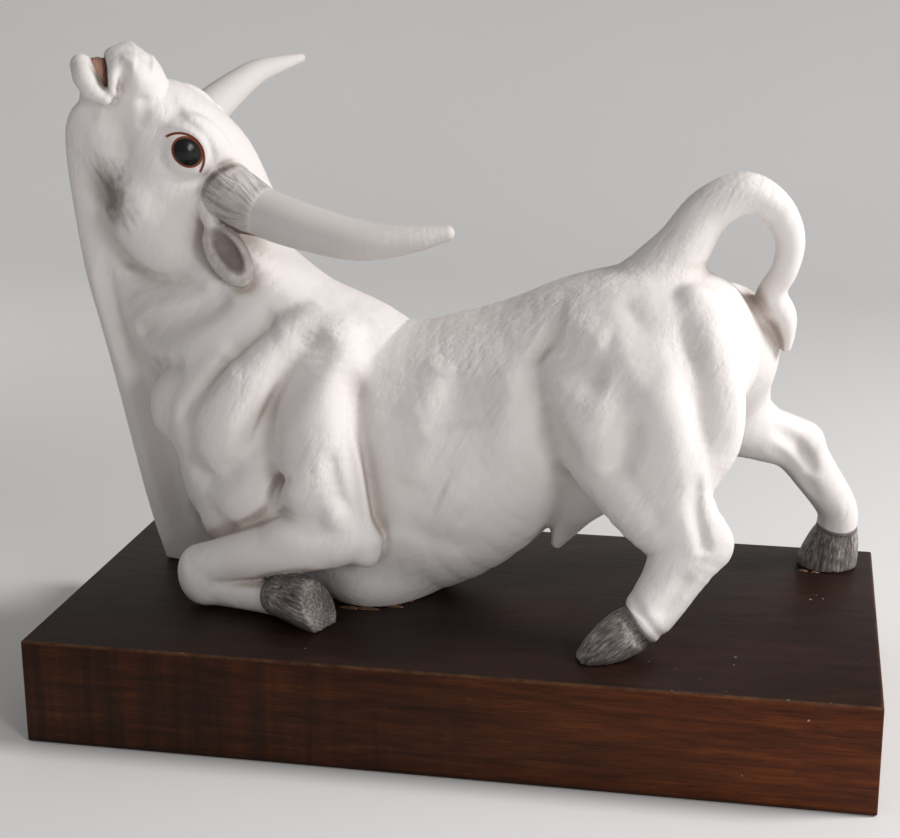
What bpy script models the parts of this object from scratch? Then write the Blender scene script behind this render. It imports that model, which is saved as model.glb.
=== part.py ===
# Kneeling bull in white bisque porcelain, head thrown back, on a dark stained wooden plinth.
#
# The bull is one cast piece. It is modelled as clay would be: masses of muscle and bone are laid
# over each other and blended, folds are pressed in, and one closed skin is drawn over the result.
# The plinth is a plain block with a small chamfer all round.
#
# World frame: metres, +X to the spectator's right, +Y away, +Z up, origin at the centre of the
# plinth's underside. The bull's own coordinates are measured from the centre of the plinth's top,
# in units that are millimetres at its drawn length. Its length is then set by BULL_LENGTH alone.

import bmesh
import bpy
import numpy as np

MM = 0.001

# The plinth, in millimetres.
PLINTH_LENGTH = 508.0
PLINTH_DEPTH = 254.0
PLINTH_HEIGHT = 66.0
PLINTH_CHAMFER = 1.2

# The bull, in millimetres: from the dewlap's front to the right hind heel, and the air under it.
BULL_LENGTH = 499.5
REST_GAP = 0.3

# How finely the skin is drawn, and how many triangles it keeps.
SKIN_STEP = 3.4
SKIN_TRIANGLES = 9300

BISQUE = (0.86, 0.83, 0.80, 1.0)
STAINED_WOOD = (0.07, 0.03, 0.018, 1.0)

# The deepest a fold goes, and how far from the skin the folds are worked out.
MARK_LIMIT = 8.0
MARK_DEPTH = 25.0

FAR = 1000.0
COARSE = 4


def unit(vector):
    vector = np.asarray(vector, float)
    return vector / np.linalg.norm(vector)


class Mass:
    """One lump of clay: its bounding box and its distance field."""

    def __init__(self, low, high, distance):
        self.low = np.asarray(low, float)
        self.high = np.asarray(high, float)
        self.distance = distance

    def posed(self, axes, origin, size=1.0):
        """The same lump, moved from its own frame into the bull's: axes holds the frame's unit columns."""
        corners = np.array(
            [[x, y, z] for x in (self.low[0], self.high[0])
             for y in (self.low[1], self.high[1])
             for z in (self.low[2], self.high[2])]
        ) @ axes.T * size + origin
        inner = self.distance
        return Mass(corners.min(0), corners.max(0), lambda p: size * inner((p - origin) @ axes / size))

    def carved(self, hollow):
        """The same lump with another one scooped out of it."""
        inner = self.distance
        return Mass(self.low, self.high, lambda p: -soft_min(-inner(p), hollow.distance(p), 2.0))


def ellipse_distance(parts, radii):
    """Distance to an ellipsoid whose local offsets are parts and whose semi-axes are radii."""
    ratio = sum((q / r) ** 2 for q, r in zip(parts, radii)) ** 0.5
    slope = sum((q / (r * r)) ** 2 for q, r in zip(parts, radii)) ** 0.5
    return ratio * (ratio - 1.0) / np.maximum(slope, 1e-9)


def ball(centre, radii, along=(1, 0, 0), up=(0, 0, 1)):
    """An ellipsoid whose first semi-axis lies along, and whose third lies near up."""
    centre = np.asarray(centre, float)
    radii = np.asarray(radii, float) * np.ones(3)
    first = unit(along)
    second = unit(np.cross(up, first))
    axes = np.column_stack([first, second, np.cross(first, second)])
    reach = np.sqrt(((axes * radii) ** 2).sum(1))

    def distance(p):
        q = (p - centre) @ axes
        return ellipse_distance((q[:, 0], q[:, 1], q[:, 2]), radii)

    return Mass(centre - reach, centre + reach, distance)


def beyond(centre, normal):
    """Everything past a plane, to carve a flat face with."""
    normal = unit(normal)
    return Mass([-FAR] * 3, [FAR] * 3, lambda p: -((p - np.asarray(centre, float)) @ normal))


def smooth_rows(rows, pieces):
    """Rows of numbers as a smooth curve through them (Catmull-Rom), with this many pieces for each span."""
    rows = np.asarray(rows, float)
    padded = np.vstack([2 * rows[0] - rows[1], rows, 2 * rows[-1] - rows[-2]])
    made = []
    for i in range(len(rows) - 1):
        a, b, c, d = padded[i:i + 4]
        for t in np.arange(pieces) / pieces:
            made.append(
                0.5 * (2 * b + (c - a) * t + (2 * a - 5 * b + 4 * c - d) * t**2 + (3 * b - a - 3 * c + d) * t**3)
            )
    made.append(rows[-1])
    return np.array(made)


def limb(stations, side=(0, 1, 0), pieces=5):
    """A tapering oval bar. A station is x, y, z, the half-width along side, and the half-depth across it."""
    rows = smooth_rows(stations, pieces)
    centres = rows[:, :3]
    widths = np.maximum(rows[:, 3], 0.8)
    depths = np.maximum(rows[:, 4], 0.8)
    reach = np.maximum(widths, depths)[:, None]

    def distance(p):
        nearest = np.full(len(p), FAR)
        for i in range(len(centres) - 1):
            step = centres[i + 1] - centres[i]
            length = np.linalg.norm(step)
            axis = step / length
            across = unit(np.asarray(side, float) - axis * (axis @ np.asarray(side, float)))
            third = np.cross(axis, across)
            q = p - centres[i]
            along = q @ axis
            t = np.clip(along / length, 0, 1)
            width = widths[i] + t * (widths[i + 1] - widths[i])
            depth = depths[i] + t * (depths[i + 1] - depths[i])
            found = ellipse_distance(
                (q @ across, q @ third, along - t * length), (width, depth, np.minimum(width, depth))
            )
            np.minimum(nearest, found, out=nearest)
        return nearest

    return Mass((centres - reach).min(0), (centres + reach).max(0), distance)


def soft_min(a, b, blend):
    h = np.maximum(blend - np.abs(a - b), 0) / blend
    return np.minimum(a, b) - h * h * blend / 4


def line_distance(p, points):
    """Distance from each point of p to an open polyline, and how far along it (0 to 1) the nearest spot is."""
    nearest = np.full(len(p), FAR)
    share = np.zeros(len(p))
    for i, (a, b) in enumerate(zip(points[:-1], points[1:])):
        step = b - a
        t = np.clip((p - a) @ step / (step @ step), 0, 1)
        away = np.linalg.norm(p - a - t[:, None] * step, axis=1)
        closer = away < nearest
        nearest[closer] = away[closer]
        share[closer] = (i + t[closer]) / (len(points) - 1)
    return nearest, share


class Clay:
    """The list of what is laid on, cut away and pressed in, in order."""

    def __init__(self):
        self.steps = []

    def add(self, mass, blend=10.0):
        self.steps.append(("add", mass, blend))

    def cut(self, mass, blend=3.0):
        self.steps.append(("cut", mass, blend))

    def marks(self, rows, side=None, plane=10.0, strength=1.0, pose=None):
        """Ridges (height above 0) and grooves, each a width, a height and the points of a smooth line.

        With side -1 or 1 they are drawn on that flank: the points are x and z alone, and a line marks
        whatever lies on that side of the plane y. The pose (axes, origin, size) is the frame they are
        drawn in. Where marks cross they add up, but never past MARK_LIMIT."""
        lines = [(width, strength * height, smooth_rows(points, 4)) for width, height, *points in rows]
        self.steps.append(("marks", lines, side, plane, pose))

    def field(self, p):
        d = np.full(len(p), FAR)
        for step in self.steps:
            if step[0] == "marks":
                self.press(d, p, *step[1:])
                continue
            kind, mass, blend = step
            margin = blend + COARSE * SKIN_STEP
            near = np.all((p > mass.low - margin) & (p < mass.high + margin), axis=1)
            if not near.any():
                continue
            if kind == "add":
                d[near] = soft_min(d[near], mass.distance(p[near]), blend)
            else:
                d[near] = -soft_min(-d[near], mass.distance(p[near]), blend)
        return d

    @staticmethod
    def press(d, p, lines, side, plane, pose):
        near = np.flatnonzero(np.abs(d) < MARK_DEPTH)
        q = p[near]
        if pose is not None:
            axes, origin, size = pose
            q = (q - origin) @ axes / size
        if side is not None:
            kept = side * (q[:, 1] - plane) > 0
            near, q = near[kept], q[kept][:, [0, 2]]
        total = np.zeros(len(q))
        for width, height, points in lines:
            reach = 2.6 * width
            found = np.all((q > points.min(0) - reach) & (q < points.max(0) + reach), axis=1)
            if not found.any():
                continue
            away, share = line_distance(q[found], points)
            rise = np.clip(4 * np.minimum(share, 1 - share) + 0.1, 0, 1)
            fade = rise * rise * (3 - 2 * rise)
            total[found] += height * fade * np.exp(-((away / width) ** 2))
        d[near] -= MARK_LIMIT * np.tanh(total / MARK_LIMIT)


def body(clay):
    """Trunk, neck and dewlap. Stations run from the rump to the chest, then up to the head."""
    clay.add(limb([
        (140, 5, 170, 36, 44),
        (112, 5, 160, 48, 58),
        (80, 6, 147, 55, 64),
        (45, 8, 134, 58, 62),
        (10, 9, 112, 62, 73),
        (-30, 10, 90, 66, 86),
        (-70, 11, 84, 66, 93),
        (-105, 13, 97, 62, 97),
        (-135, 15, 110, 54, 88),
    ]), 12)
    clay.add(limb([
        (-95, 13, 128, 56, 60),
        (-136, 15, 152, 53, 61),
        (-169, 19, 181, 44, 60),
        (-182, 28, 209, 32, 59),
        (-187, 33, 236, 28, 51),
        (-188, 37, 254, 26, 44),
    ]), 10)
    clay.add(limb([
        (-223, -27, 310, 8, 15),
        (-228, -20, 292, 9, 20),
        (-233, -9, 272, 9, 20),
        (-233, 3, 240, 8.5, 22),
        (-232, 11, 205, 8, 22),
        (-225, 21, 160, 8, 23),
        (-213, 25, 105, 7.5, 25),
        (-200, 32, 45, 7.5, 28),
        (-190, 34, 3, 9, 27),
    ], side=(-0.2, 1, 0)), 16)


def shoulder(clay, side):
    """Shoulder, breast and upper arm of one side."""
    y = 12 + side * 1.0

    def out(distance):
        return y + side * distance

    clay.add(ball((-98, out(36), 130), (44, 20, 30), (0.45, 0, 1)), 12)
    clay.add(ball((-150, out(29), 118), (44, 30, 42), (0.6, 0, 1)), 16)
    clay.add(ball((-184, out(24), 124), (20, 19, 28), (1, 0, -0.35)), 5)
    clay.add(ball((-142, out(34), 76), (36, 26, 34)), 12)
    clay.add(limb([
        (-126, out(24), 190, 6, 8),
        (-136, out(30), 184, 10, 12),
        (-152, out(33), 172, 10, 13),
        (-170, out(32), 160, 9, 11),
        (-184, out(27), 152, 7, 8),
    ]), 7)
    clay.add(limb([
        (-94, out(27), 182, 6, 8),
        (-104, out(37), 173, 11, 14),
        (-126, out(51), 148, 12, 19),
        (-142, out(55), 124, 12, 21),
        (-149, out(54), 104, 12, 18),
        (-150, out(50), 92, 10, 13),
    ]), 5)
    clay.add(ball((-127, out(52), 73), (31, 18, 26), (1, 0, -0.3)), 5)
    clay.add(limb([
        (-80, out(32), 172, 8, 12),
        (-86, out(44), 150, 17, 22),
        (-88, out(54), 122, 20, 29),
        (-83, out(62), 96, 21, 26),
        (-79, out(66), 70, 17, 23),
        (-68, out(68), 52, 13, 15),
    ]), 12)
    clay.add(limb([
        (-66, out(60), 120, 8, 6),
        (-60, out(66), 100, 8, 7),
        (-56, out(67), 78, 8, 7),
        (-54, out(67), 56, 9, 8),
    ]), 4)
    clay.add(ball((-92, out(67), 86), (15, 17, 17)), 7)
    clay.add(ball((-146, out(38), 50), (22, 16, 20)), 10)


# Folds and muscles of the flank as (width, height, points), each point an x and a z.
def dewlap_folds():
    return (
        (4, 1.5, (-247, 221), (-247, 190), (-240, 147), (-230, 113), (-219, 53), (-207, 10)),
        (5, -2.4, (-237, 222), (-236, 190), (-228, 150), (-216, 105), (-207, 53), (-197, 10)),
    )


def shoulder_folds():
    return (
        (7, -9, (-145, 198), (-156, 190), (-172, 181), (-189, 173), (-206, 166), (-218, 163)),
        (4.5, -4, (-136, 166), (-147, 154), (-156, 143), (-165, 133), (-172, 124), (-177, 112)),
        (10, -3.5, (-114, 182), (-124, 175), (-134, 166), (-144, 156)),
        (6, -3.5, (-208, 140), (-198, 146), (-186, 149), (-174, 152)),
        (12, -9, (-82, 178), (-90, 163), (-104, 147), (-117, 128), (-121, 112), (-120, 98)),
        (5, -3.5, (-75, 114), (-72, 96), (-68, 80), (-64, 64)),
        (8, -6, (-72, 162), (-66, 139), (-60, 116), (-54, 92), (-49, 66), (-47, 52)),
        (4, -5, (-96, 94), (-107, 88), (-113, 80), (-116, 70), (-124, 61), (-137, 54)),
        (7, -3, (-176, 98), (-170, 92), (-162, 85), (-152, 82), (-141, 88), (-134, 98)),
    )


def rib_folds():
    return (
        (11, 3.5, (-8, 162), (-18, 144), (-30, 124)),
        (11, 3, (-16, 126), (-22, 108), (-30, 88)),
        (16, -4, (4, 156), (2, 140), (4, 122)),
        (11, 4, (31, 166), (33, 152), (31, 129), (26, 96)),
        (13, -7, (48, 174), (52, 158), (56, 139), (56, 108)),
        (16, 3, (-10, 84), (8, 76)),
        (8, -2, (-36, 68), (-12, 50), (12, 50)),
    )


def haunch_folds():
    return (
        (12, -6, (44, 178), (66, 166), (92, 158)),
        (10, 3, (58, 188), (73, 186), (90, 180)),
        (7, -3.5, (53, 146), (58, 128), (74, 112)),
        (8, -6, (98, 142), (101, 128), (100, 116), (97, 104)),
        (6, -2, (94, 118), (106, 104), (118, 88), (126, 76)),
        (8, -3, (94, 206), (103, 190), (112, 174), (121, 157)),
        (7, -2.5, (126, 196), (136, 172), (142, 148), (143, 124), (142, 104)),
        (4, -4, (145, 112), (143, 92), (147, 75), (151, 62)),
        (4, -2.5, (143, 54), (133, 38), (124, 26)),
        (2.5, -2, (99, 36), (108, 24), (117, 12), (124, 2)),
        (3, -1.5, (107, 40), (116, 28), (125, 16), (131, 6)),
    )


def far_leg_folds():
    return (
        (5, -3.5, (182, 50, 106), (196, 64, 94), (206, 71, 80), (212, 76, 66)),
        (4, -3, (182, 48, 94), (200, 66, 72), (216, 76, 50)),
        (5, -3.5, (178, 86, 106), (194, 98, 92), (206, 101, 74)),
    )


def foreleg(clay, side):
    """A foreleg folded under: forearm forward to the knee, cannon and hoof back below it."""
    y = 12 + side * 1.0

    def out(distance):
        return y + side * distance

    clay.add(limb([
        (-76, out(68), 50, 15, 16),
        (-98, out(70), 47, 16, 17),
        (-125, out(68), 40, 15, 16),
        (-148, out(64), 32, 14, 14),
        (-163, out(60), 24, 15, 16),
    ]), 5)
    clay.add(ball((-163, out(60), 18), (15, 15, 17)), 5)
    clay.add(ball((-58, out(66), 50), (11, 11, 16), (1, 0, 0.3)), 5)
    clay.add(ball((-73, out(76), 71), (8, 9, 9.5)), 4)
    clay.add(ball((-96, out(74), 55), (22, 12, 12), (1, 0, 0.1)), 6)
    clay.add(limb([
        (-160, out(60), 13, 12, 12),
        (-142, out(64), 12, 10, 11),
        (-120, out(70), 12, 10, 10.5),
        (-104, out(76), 14, 12, 12),
    ]), 4)
    clay.add(fore_hoof(side), 1.5)


def fore_hoof(side):
    """A fore hoof, laid back with its flat sole in view."""
    y = 12 + side * 1.0
    hoof = limb([
        (-106, y + side * 77, 16, 13, 13.5),
        (-94, y + side * 80, 15, 15, 15.5),
        (-80, y + side * 84, 11, 15, 15),
        (-64, y + side * 88, 5, 13, 12),
    ])
    return hoof.carved(beyond((-83, y + side * 84, 17), (0.87, side * 0.35, 0.35)))


def left_hind(clay):
    """The left hind leg, set forward under the belly."""
    clay.add(limb([
        (108, -16, 176, 32, 50),
        (106, -34, 146, 33, 60),
        (112, -46, 116, 28, 47),
        (121, -55, 90, 20, 32),
        (138, -61, 66, 15.5, 23.5),
        (131, -67, 44, 14, 17.5),
        (119, -74, 25, 14.5, 15.5),
        (114, -77, 19, 15, 14),
    ]), 10)
    clay.add(ball((154, -61, 65), (12, 9, 14)), 7)
    clay.add(limb([
        (57, -38, 166, 8, 10),
        (70, -52, 152, 10, 15),
        (84, -61, 136, 12, 17),
        (90, -61, 118, 10, 13),
    ]), 8)
    clay.add(limb([
        (98, -36, 186, 10, 9),
        (110, -48, 168, 12, 13),
        (121, -61, 147, 12, 15),
        (129, -65, 125, 12, 16),
        (133, -63, 104, 11, 15),
        (133, -61, 86, 12, 14),
    ]), 8)
    clay.add(limb([
        (136, -24, 200, 10, 10),
        (149, -38, 170, 14, 14),
        (155, -46, 146, 14, 14),
        (154, -47, 122, 13, 13),
        (147, -48, 104, 11, 10),
    ]), 7)
    clay.add(left_hoof(), 1.2)


def left_hoof():
    return limb([
        (110, -78, 16, 14.5, 14),
        (102, -81, 11, 16.5, 13.5),
        (92, -84, 4, 17, 10.5),
        (83, -86, -2, 15, 6),
    ])


def right_hind(clay):
    """The right hind leg, stretched out behind."""
    clay.add(limb([
        (122, 30, 164, 30, 42),
        (140, 42, 144, 30, 44),
        (156, 55, 114, 23, 28),
        (176, 67, 98, 16, 19),
        (197, 79, 87, 14, 17),
        (213, 86, 65, 12.5, 14.5),
        (227, 92, 42, 14, 13),
        (228, 95, 26, 14, 13),
    ], side=(-0.35, 1, 0)), 10)
    clay.add(ball((206, 79, 91), (9, 8, 9)), 9)
    clay.add(right_hoof(), 1.2)


def right_hoof():
    return limb([
        (228, 95, 22, 14, 14),
        (226, 96, 14, 17, 17),
        (223, 97, 2, 19, 19.5),
    ], side=(-0.2, 1, 0))


def buttocks(clay):
    """The two rounded seats, with the cleft between them."""
    clay.add(ball((139, -20, 156), (29, 24, 50), (1, -0.3, 0)), 8)
    clay.add(ball((150, 36, 158), (36, 27, 43), (1, 0.1, 0)), 8)
    clay.cut(limb([
        (158, 7, 190, 2, 4),
        (180, 6, 172, 3.5, 8),
        (184, 6, 152, 4, 11),
        (178, 6, 128, 4, 9),
        (160, 6, 102, 3, 6),
    ]), 12)


def belly_fold(clay):
    """The belly sags beside the near foreleg and rests on the plinth there."""
    clay.add(ball((-62, -6, 12), (33, 35, 22)), 14)


def sheath(clay):
    clay.add(limb([(74, -10, 80, 15, 22), (67, -8, 66, 12, 14), (60, -5, 52, 8, 9), (55, -4, 40, 4, 4)]), 6)


def tail(clay):
    """The tail rises from the croup, curls over and lays its tuft on the right buttock."""
    clay.add(limb([
        (112, 8, 206, 22, 22),
        (126, 8, 226, 17, 17),
        (141, 9, 249, 14, 14),
        (162, 10, 260, 12.5, 12.5),
        (180, 12, 251, 10.5, 10.5),
        (189, 15, 233, 9, 9),
        (187, 18, 214, 8, 8),
        (180, 22, 200, 8, 8),
        (179, 26, 190, 9, 8),
    ], pieces=7), 8)
    clay.add(limb([(180, 24, 196, 9, 8), (187, 28, 184, 10, 8), (190, 30, 172, 7, 5), (190, 30, 163, 3, 3)]), 5)


def head_pose():
    """The head's axes (towards the muzzle, to its left, out of the forehead), where it sits, and its size."""
    forward = unit((-0.302, -0.402, 0.865))
    left = unit((0.394, -0.878, -0.271))
    axes = np.column_stack([forward, left, np.cross(forward, left)])
    return axes, np.array([-161.9, 25.3, 256.7]), 0.982


def head(clay):
    """The head, in its own frame: x towards the muzzle, y to its left, z out of the forehead."""

    def add(mass, blend=6.0):
        clay.add(mass.posed(*head_pose()), blend)

    def cut(mass, blend=3.0):
        clay.cut(mass.posed(*head_pose()), blend)

    add(limb([
        (-16, 0, -12, 33, 35),
        (14, 0, -15, 37, 40),
        (40, 0, -18, 34, 35),
        (58, 0, -20, 29, 26),
        (72, 0, -22, 24, 20),
        (90, 0, -22, 22, 20),
        (97, 0, -24, 18, 15),
    ]), 8)
    add(limb([
        (-4, 0, -48, 33, 26),
        (22, 0, -52, 30, 24),
        (52, 0, -54, 19, 18),
        (80, 0, -50, 14, 10),
        (98, 0, -47, 12, 7),
    ]), 6)
    for side in (1, -1):
        add(ball((6, side * 20, -45), (36, 15, 29), (1, 0, -0.1)), 16)
        add(ball((-6, side * 23, -43), (21, 14, 25), (1, 0, 0.3)), 10)
        add(ball((38, side * 26, -4), (25, 11, 19)), 5)
        add(ball((94, side * 12, -17), (14, 12, 11)), 4)
    cut(mouth_gap(), 2)
    add(tongue(), 1.5)
    for side in (1, -1):
        add(limb([
            (106, 0, -24, 5, 5),
            (103, side * 10, -25, 5, 5),
            (101, side * 17, -28, 4.5, 4.5),
            (95, side * 20, -32, 3.5, 3.5),
        ], side=(0, 0, 1), pieces=3), 3)
        add(limb([
            (110, 0, -44, 6.5, 7.5),
            (107, side * 9, -45, 7, 7.5),
            (100, side * 15, -44, 7, 7),
            (93, side * 19, -39, 4.5, 5),
        ], side=(0, 0, 1), pieces=3), 3)
        clay.marks([
            (9, -4, (56, -50), (46, -60), (36, -68), (24, -75)),
            (6, -6, (-8, -84), (-20, -78), (-26, -69), (-29, -59), (-31, -48), (-33, -36)),
            (4, -2, (108, -16), (102, -20), (97, -26), (92, -33)),
            (6, -3, (84, -46), (91, -53), (100, -57), (108, -57)),
            (4, -1.5, (104, -13), (100, -9), (94, -5)),
            (4, -1.5, (86, -16), (76, -22), (66, -30)),
            (4, 1.5, (80, 0), (64, 2), (50, 5), (34, 6)),
            (9, -1.6, (66, -12), (62, -22), (50, -27), (36, -24), (26, -14)),
        ], side, 4.0, pose=head_pose())
        clay.marks([
            (2.6, 1.4, (28, -9), (34, -3), (42, 1), (50, 1), (58, -3), (62, -10), (62, -18)),
            (2.6, -1.3, (26, -5), (34, 2), (44, 5), (54, 3), (62, -3)),
            (2.6, 1.2, (53, -18), (48, -21), (42, -21), (38, -19), (34, -15), (33, -10), (35, -5)),
            (2.6, -1.2, (55, -23), (46, -27), (37, -26), (30, -21), (27, -13), (28, -4)),
        ], side, 4.0, pose=head_pose())
        add(ball((44, side * 29, -10), (13, 9, 10.5), (1, 0, -0.45)), 4)
        add(ball((44, side * 29.5, -10), (10.5, 10, 8.5), (1, 0, -0.45)), 1.5)


def mouth_gap():
    return ball((108, 0, -33), (23, 22, 4.5))


def tongue():
    return limb([(84, 0, -37, 13, 5), (97, 0, -35.5, 12, 5), (107, 0, -35, 9, 4)])


def horn(points, radii):
    curve = smooth_rows(points, 3)
    sizes = smooth_rows(np.asarray(radii, float)[:, None], 3)[:, 0]
    stations = [(*p, r, r) for p, r in zip(curve, sizes)]
    return limb(stations, side=(1, 0, 0), pieces=2)


def near_horn():
    return horn(
        [(8, 22, 0), (5, 42, 4), (-3, 56, 15), (-14, 74, 33), (-30, 95, 62), (-39, 105, 90), (-44, 110, 112)],
        (17, 17, 15.5, 14.6, 12.6, 9, 5),
    )


def far_horn():
    return horn(
        [(24, -20, -4), (32, -38, 5), (31, -52, 14), (27, -74, 31), (22, -92, 44), (12, -113, 58), (1, -133, 74.5)],
        (13, 12.8, 12.2, 10, 8.4, 6.4, 3.4),
    )


def collar():
    return limb([
        (9, 24, -1, 16, 15),
        (7, 36, 2, 18.5, 18),
        (4, 44, 6, 18.5, 18),
        (0, 50, 10, 17, 17),
    ], side=(1, 0, 0), pieces=3)


def horns(clay):
    """The horns. The near one comes out of a thick collar of hair."""
    clay.add(collar().posed(*head_pose()), 4)
    clay.add(near_horn().posed(*head_pose()), 2)
    clay.add(far_horn().posed(*head_pose()), 2)


def ear(side):
    """A leaf-shaped ear, hung below the horn, and the hollow in front of it."""
    along = unit((-37, side * 25, 6))
    outward = unit((0.58, side * 0.75, -0.32))
    across = np.cross(along, outward)
    middle = np.array([-18, side * 59, -16])
    hollow = middle + 7.5 * outward - side * 3.5 * across
    return ball(middle, (22.5, 6.5, 13.5), along, across), ball(hollow, (16.5, 6.5, 6.5), along, across)


def ears(clay):
    for side in (1, -1):
        root = limb([(8, side * 36, -14, 8, 8), (-2, side * 46, -15, 7, 7)])
        clay.add(root.posed(*head_pose()), 3)
        leaf, hollow = ear(side)
        clay.add(leaf.carved(hollow).posed(*head_pose()), 2)


def bull_clay():
    clay = Clay()
    body(clay)
    belly_fold(clay)
    for side in (-1, 1):
        shoulder(clay, side)
    for side, strength in ((-1, 1.0), (1, 0.8)):
        clay.marks(dewlap_folds(), side, 30.0, strength)
        clay.marks(shoulder_folds(), side, strength=strength)
        clay.marks(rib_folds(), side, strength=0.8 * strength)
    left_hind(clay)
    right_hind(clay)
    buttocks(clay)
    clay.marks(haunch_folds(), -1, strength=0.85)
    clay.marks(far_leg_folds())
    sheath(clay)
    tail(clay)
    head(clay)
    for side in (-1, 1):
        foreleg(clay, side)
    horns(clay)
    ears(clay)
    return clay


def sampled(field, low, high, step):
    """The field on a regular grid. Only the cells near the skin are worked out finely."""
    counts = np.ceil((high - low) / (step * COARSE)).astype(int)
    ticks = [low[i] + step * COARSE * (np.arange(counts[i]) + 0.5 - 0.5 / COARSE) for i in range(3)]
    grid = np.stack(np.meshgrid(*ticks, indexing="ij"), -1).reshape(-1, 3)
    rough = field(grid).reshape(counts)
    near = np.abs(rough) < step * COARSE * 1.25
    whole = np.repeat(np.repeat(np.repeat(np.sign(rough) * FAR, COARSE, 0), COARSE, 1), COARSE, 2)
    blocks = np.argwhere(near) * COARSE
    inner = np.stack(np.meshgrid(*[np.arange(COARSE)] * 3, indexing="ij"), -1).reshape(-1, 3)
    index = (blocks[:, None] + inner[None]).reshape(-1, 3)
    whole[tuple(index.T)] = field(low + step * index)
    return whole


def settled(inside):
    """The same clay without corner-to-corner touches, where a skin would meet itself along an edge."""
    inside = inside.copy()
    changed = True
    while changed:
        changed = False
        for one, two in ((0, 1), (0, 2), (1, 2)):
            quad = []
            for a in (0, 1):
                for b in (0, 1):
                    view = [slice(None)] * 3
                    view[one] = slice(a, a - 1 or None)
                    view[two] = slice(b, b - 1 or None)
                    quad.append(inside[tuple(view)])
            for i, j, k, m in ((0, 3, 1, 2), (1, 2, 0, 3)):
                touching = quad[i] & quad[j] & ~quad[k] & ~quad[m]
                if touching.any():
                    quad[k][touching] = True
                    changed = True
        cell = {}
        for a in (0, 1):
            for b in (0, 1):
                for c in (0, 1):
                    cell[a, b, c] = inside[a:a - 1 or None, b:b - 1 or None, c:c - 1 or None]
        count = sum(part.astype(np.int8) for part in cell.values())
        for a, b, c in ((0, 0, 0), (0, 0, 1), (0, 1, 0), (1, 0, 0)):
            here, opposite = cell[a, b, c], cell[1 - a, 1 - b, 1 - c]
            touching = (count == 2) & here & opposite
            touching |= (count == 6) & ~here & ~opposite
            if touching.any():
                cell[a, b, 1 - c][touching] = True
                here[touching] = True
                changed = True
    return inside


def skin(values, low, step):
    """A closed skin over the grid's zero level: a point in each crossed cell, a face across each crossed edge."""
    inside = settled(values < 0)
    values = np.where(inside & (values >= 0), -0.02 * step, values)
    size = np.array(values.shape) - 1
    corners = [(i, j, k) for i in (0, 1) for j in (0, 1) for k in (0, 1)]

    def at(array, corner):
        return array[tuple(slice(c, c + n) for c, n in zip(corner, size))]

    count = sum(at(inside, c).astype(np.int8) for c in corners)
    crossed = (count > 0) & (count < 8)
    number = np.full(crossed.shape, -1)
    number[crossed] = np.arange(crossed.sum())
    cells = np.argwhere(crossed)
    total = np.zeros((len(cells), 3))
    hits = np.zeros(len(cells))
    for a in corners:
        for axis in range(3):
            if a[axis]:
                continue
            b = tuple(c + (i == axis) for i, c in enumerate(a))
            va, vb = at(values, a)[crossed], at(values, b)[crossed]
            cut = (va < 0) != (vb < 0)
            share = np.where(cut, va / np.where(cut, va - vb, 1), 0)
            spot = np.array(a) + share[:, None] * (np.array(b) - np.array(a))
            total += spot * cut[:, None]
            hits += cut
    points = low + step * (cells + total / hits[:, None])
    faces = []
    for axis in range(3):
        one, two = (axis + 1) % 3, (axis + 2) % 3
        here = [slice(1, -1)] * 3
        here[axis] = slice(0, -1)
        there = list(here)
        there[axis] = slice(1, None)
        start, end = inside[tuple(here)], inside[tuple(there)]
        at_edge = np.argwhere(start != end)
        outward = start[start != end]
        at_edge += np.array([0 if i == axis else 1 for i in range(3)])
        ring = []
        for back_one, back_two in ((1, 1), (0, 1), (0, 0), (1, 0)):
            cell = at_edge.copy()
            cell[:, one] -= back_one
            cell[:, two] -= back_two
            ring.append(number[tuple(cell.T)])
        ring = np.stack(ring, 1)
        faces.append(np.where(outward[:, None], ring, ring[:, ::-1]))
    return points, np.vstack(faces)


def mesh_of(name, points, faces):
    mesh = bpy.data.meshes.new(name)
    mesh.from_pydata(points.tolist(), [], faces.tolist())
    mesh.update()
    return mesh


def material(name, colour, roughness):
    made = bpy.data.materials.new(name)
    made.use_nodes = True
    shader = made.node_tree.nodes["Principled BSDF"]
    shader.inputs["Base Color"].default_value = colour
    shader.inputs["Roughness"].default_value = roughness
    shader.inputs["Metallic"].default_value = 0.0
    return made


def bull_skin(step=SKIN_STEP):
    """The bull's skin in metres, standing on the plinth, cut flat where it rests."""
    clay = bull_clay()
    low = np.array([-285.0, -125.0, -8.0])
    high = np.array([275.0, 215.0, 375.0])

    def field(p):
        return np.maximum(clay.field(p), -p[:, 2])

    points, faces = skin(sampled(field, low, high, step), low, step)
    points *= BULL_LENGTH / np.ptp(points[:, 0])
    points[:, 2] += PLINTH_HEIGHT + REST_GAP - points[:, 2].min()
    return points * MM, faces


def make_bull():
    points, faces = bull_skin()
    bull = bpy.data.objects.new("bull", mesh_of("bull", points, faces))
    bpy.context.collection.objects.link(bull)
    triangles = 2 * len(faces)
    fewer = bull.modifiers.new("fewer_faces", "DECIMATE")
    fewer.ratio = min(1.0, SKIN_TRIANGLES / triangles)
    bull.data.materials.append(material("bisque", BISQUE, 0.55))
    bull.data.shade_smooth()
    return bull


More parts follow.
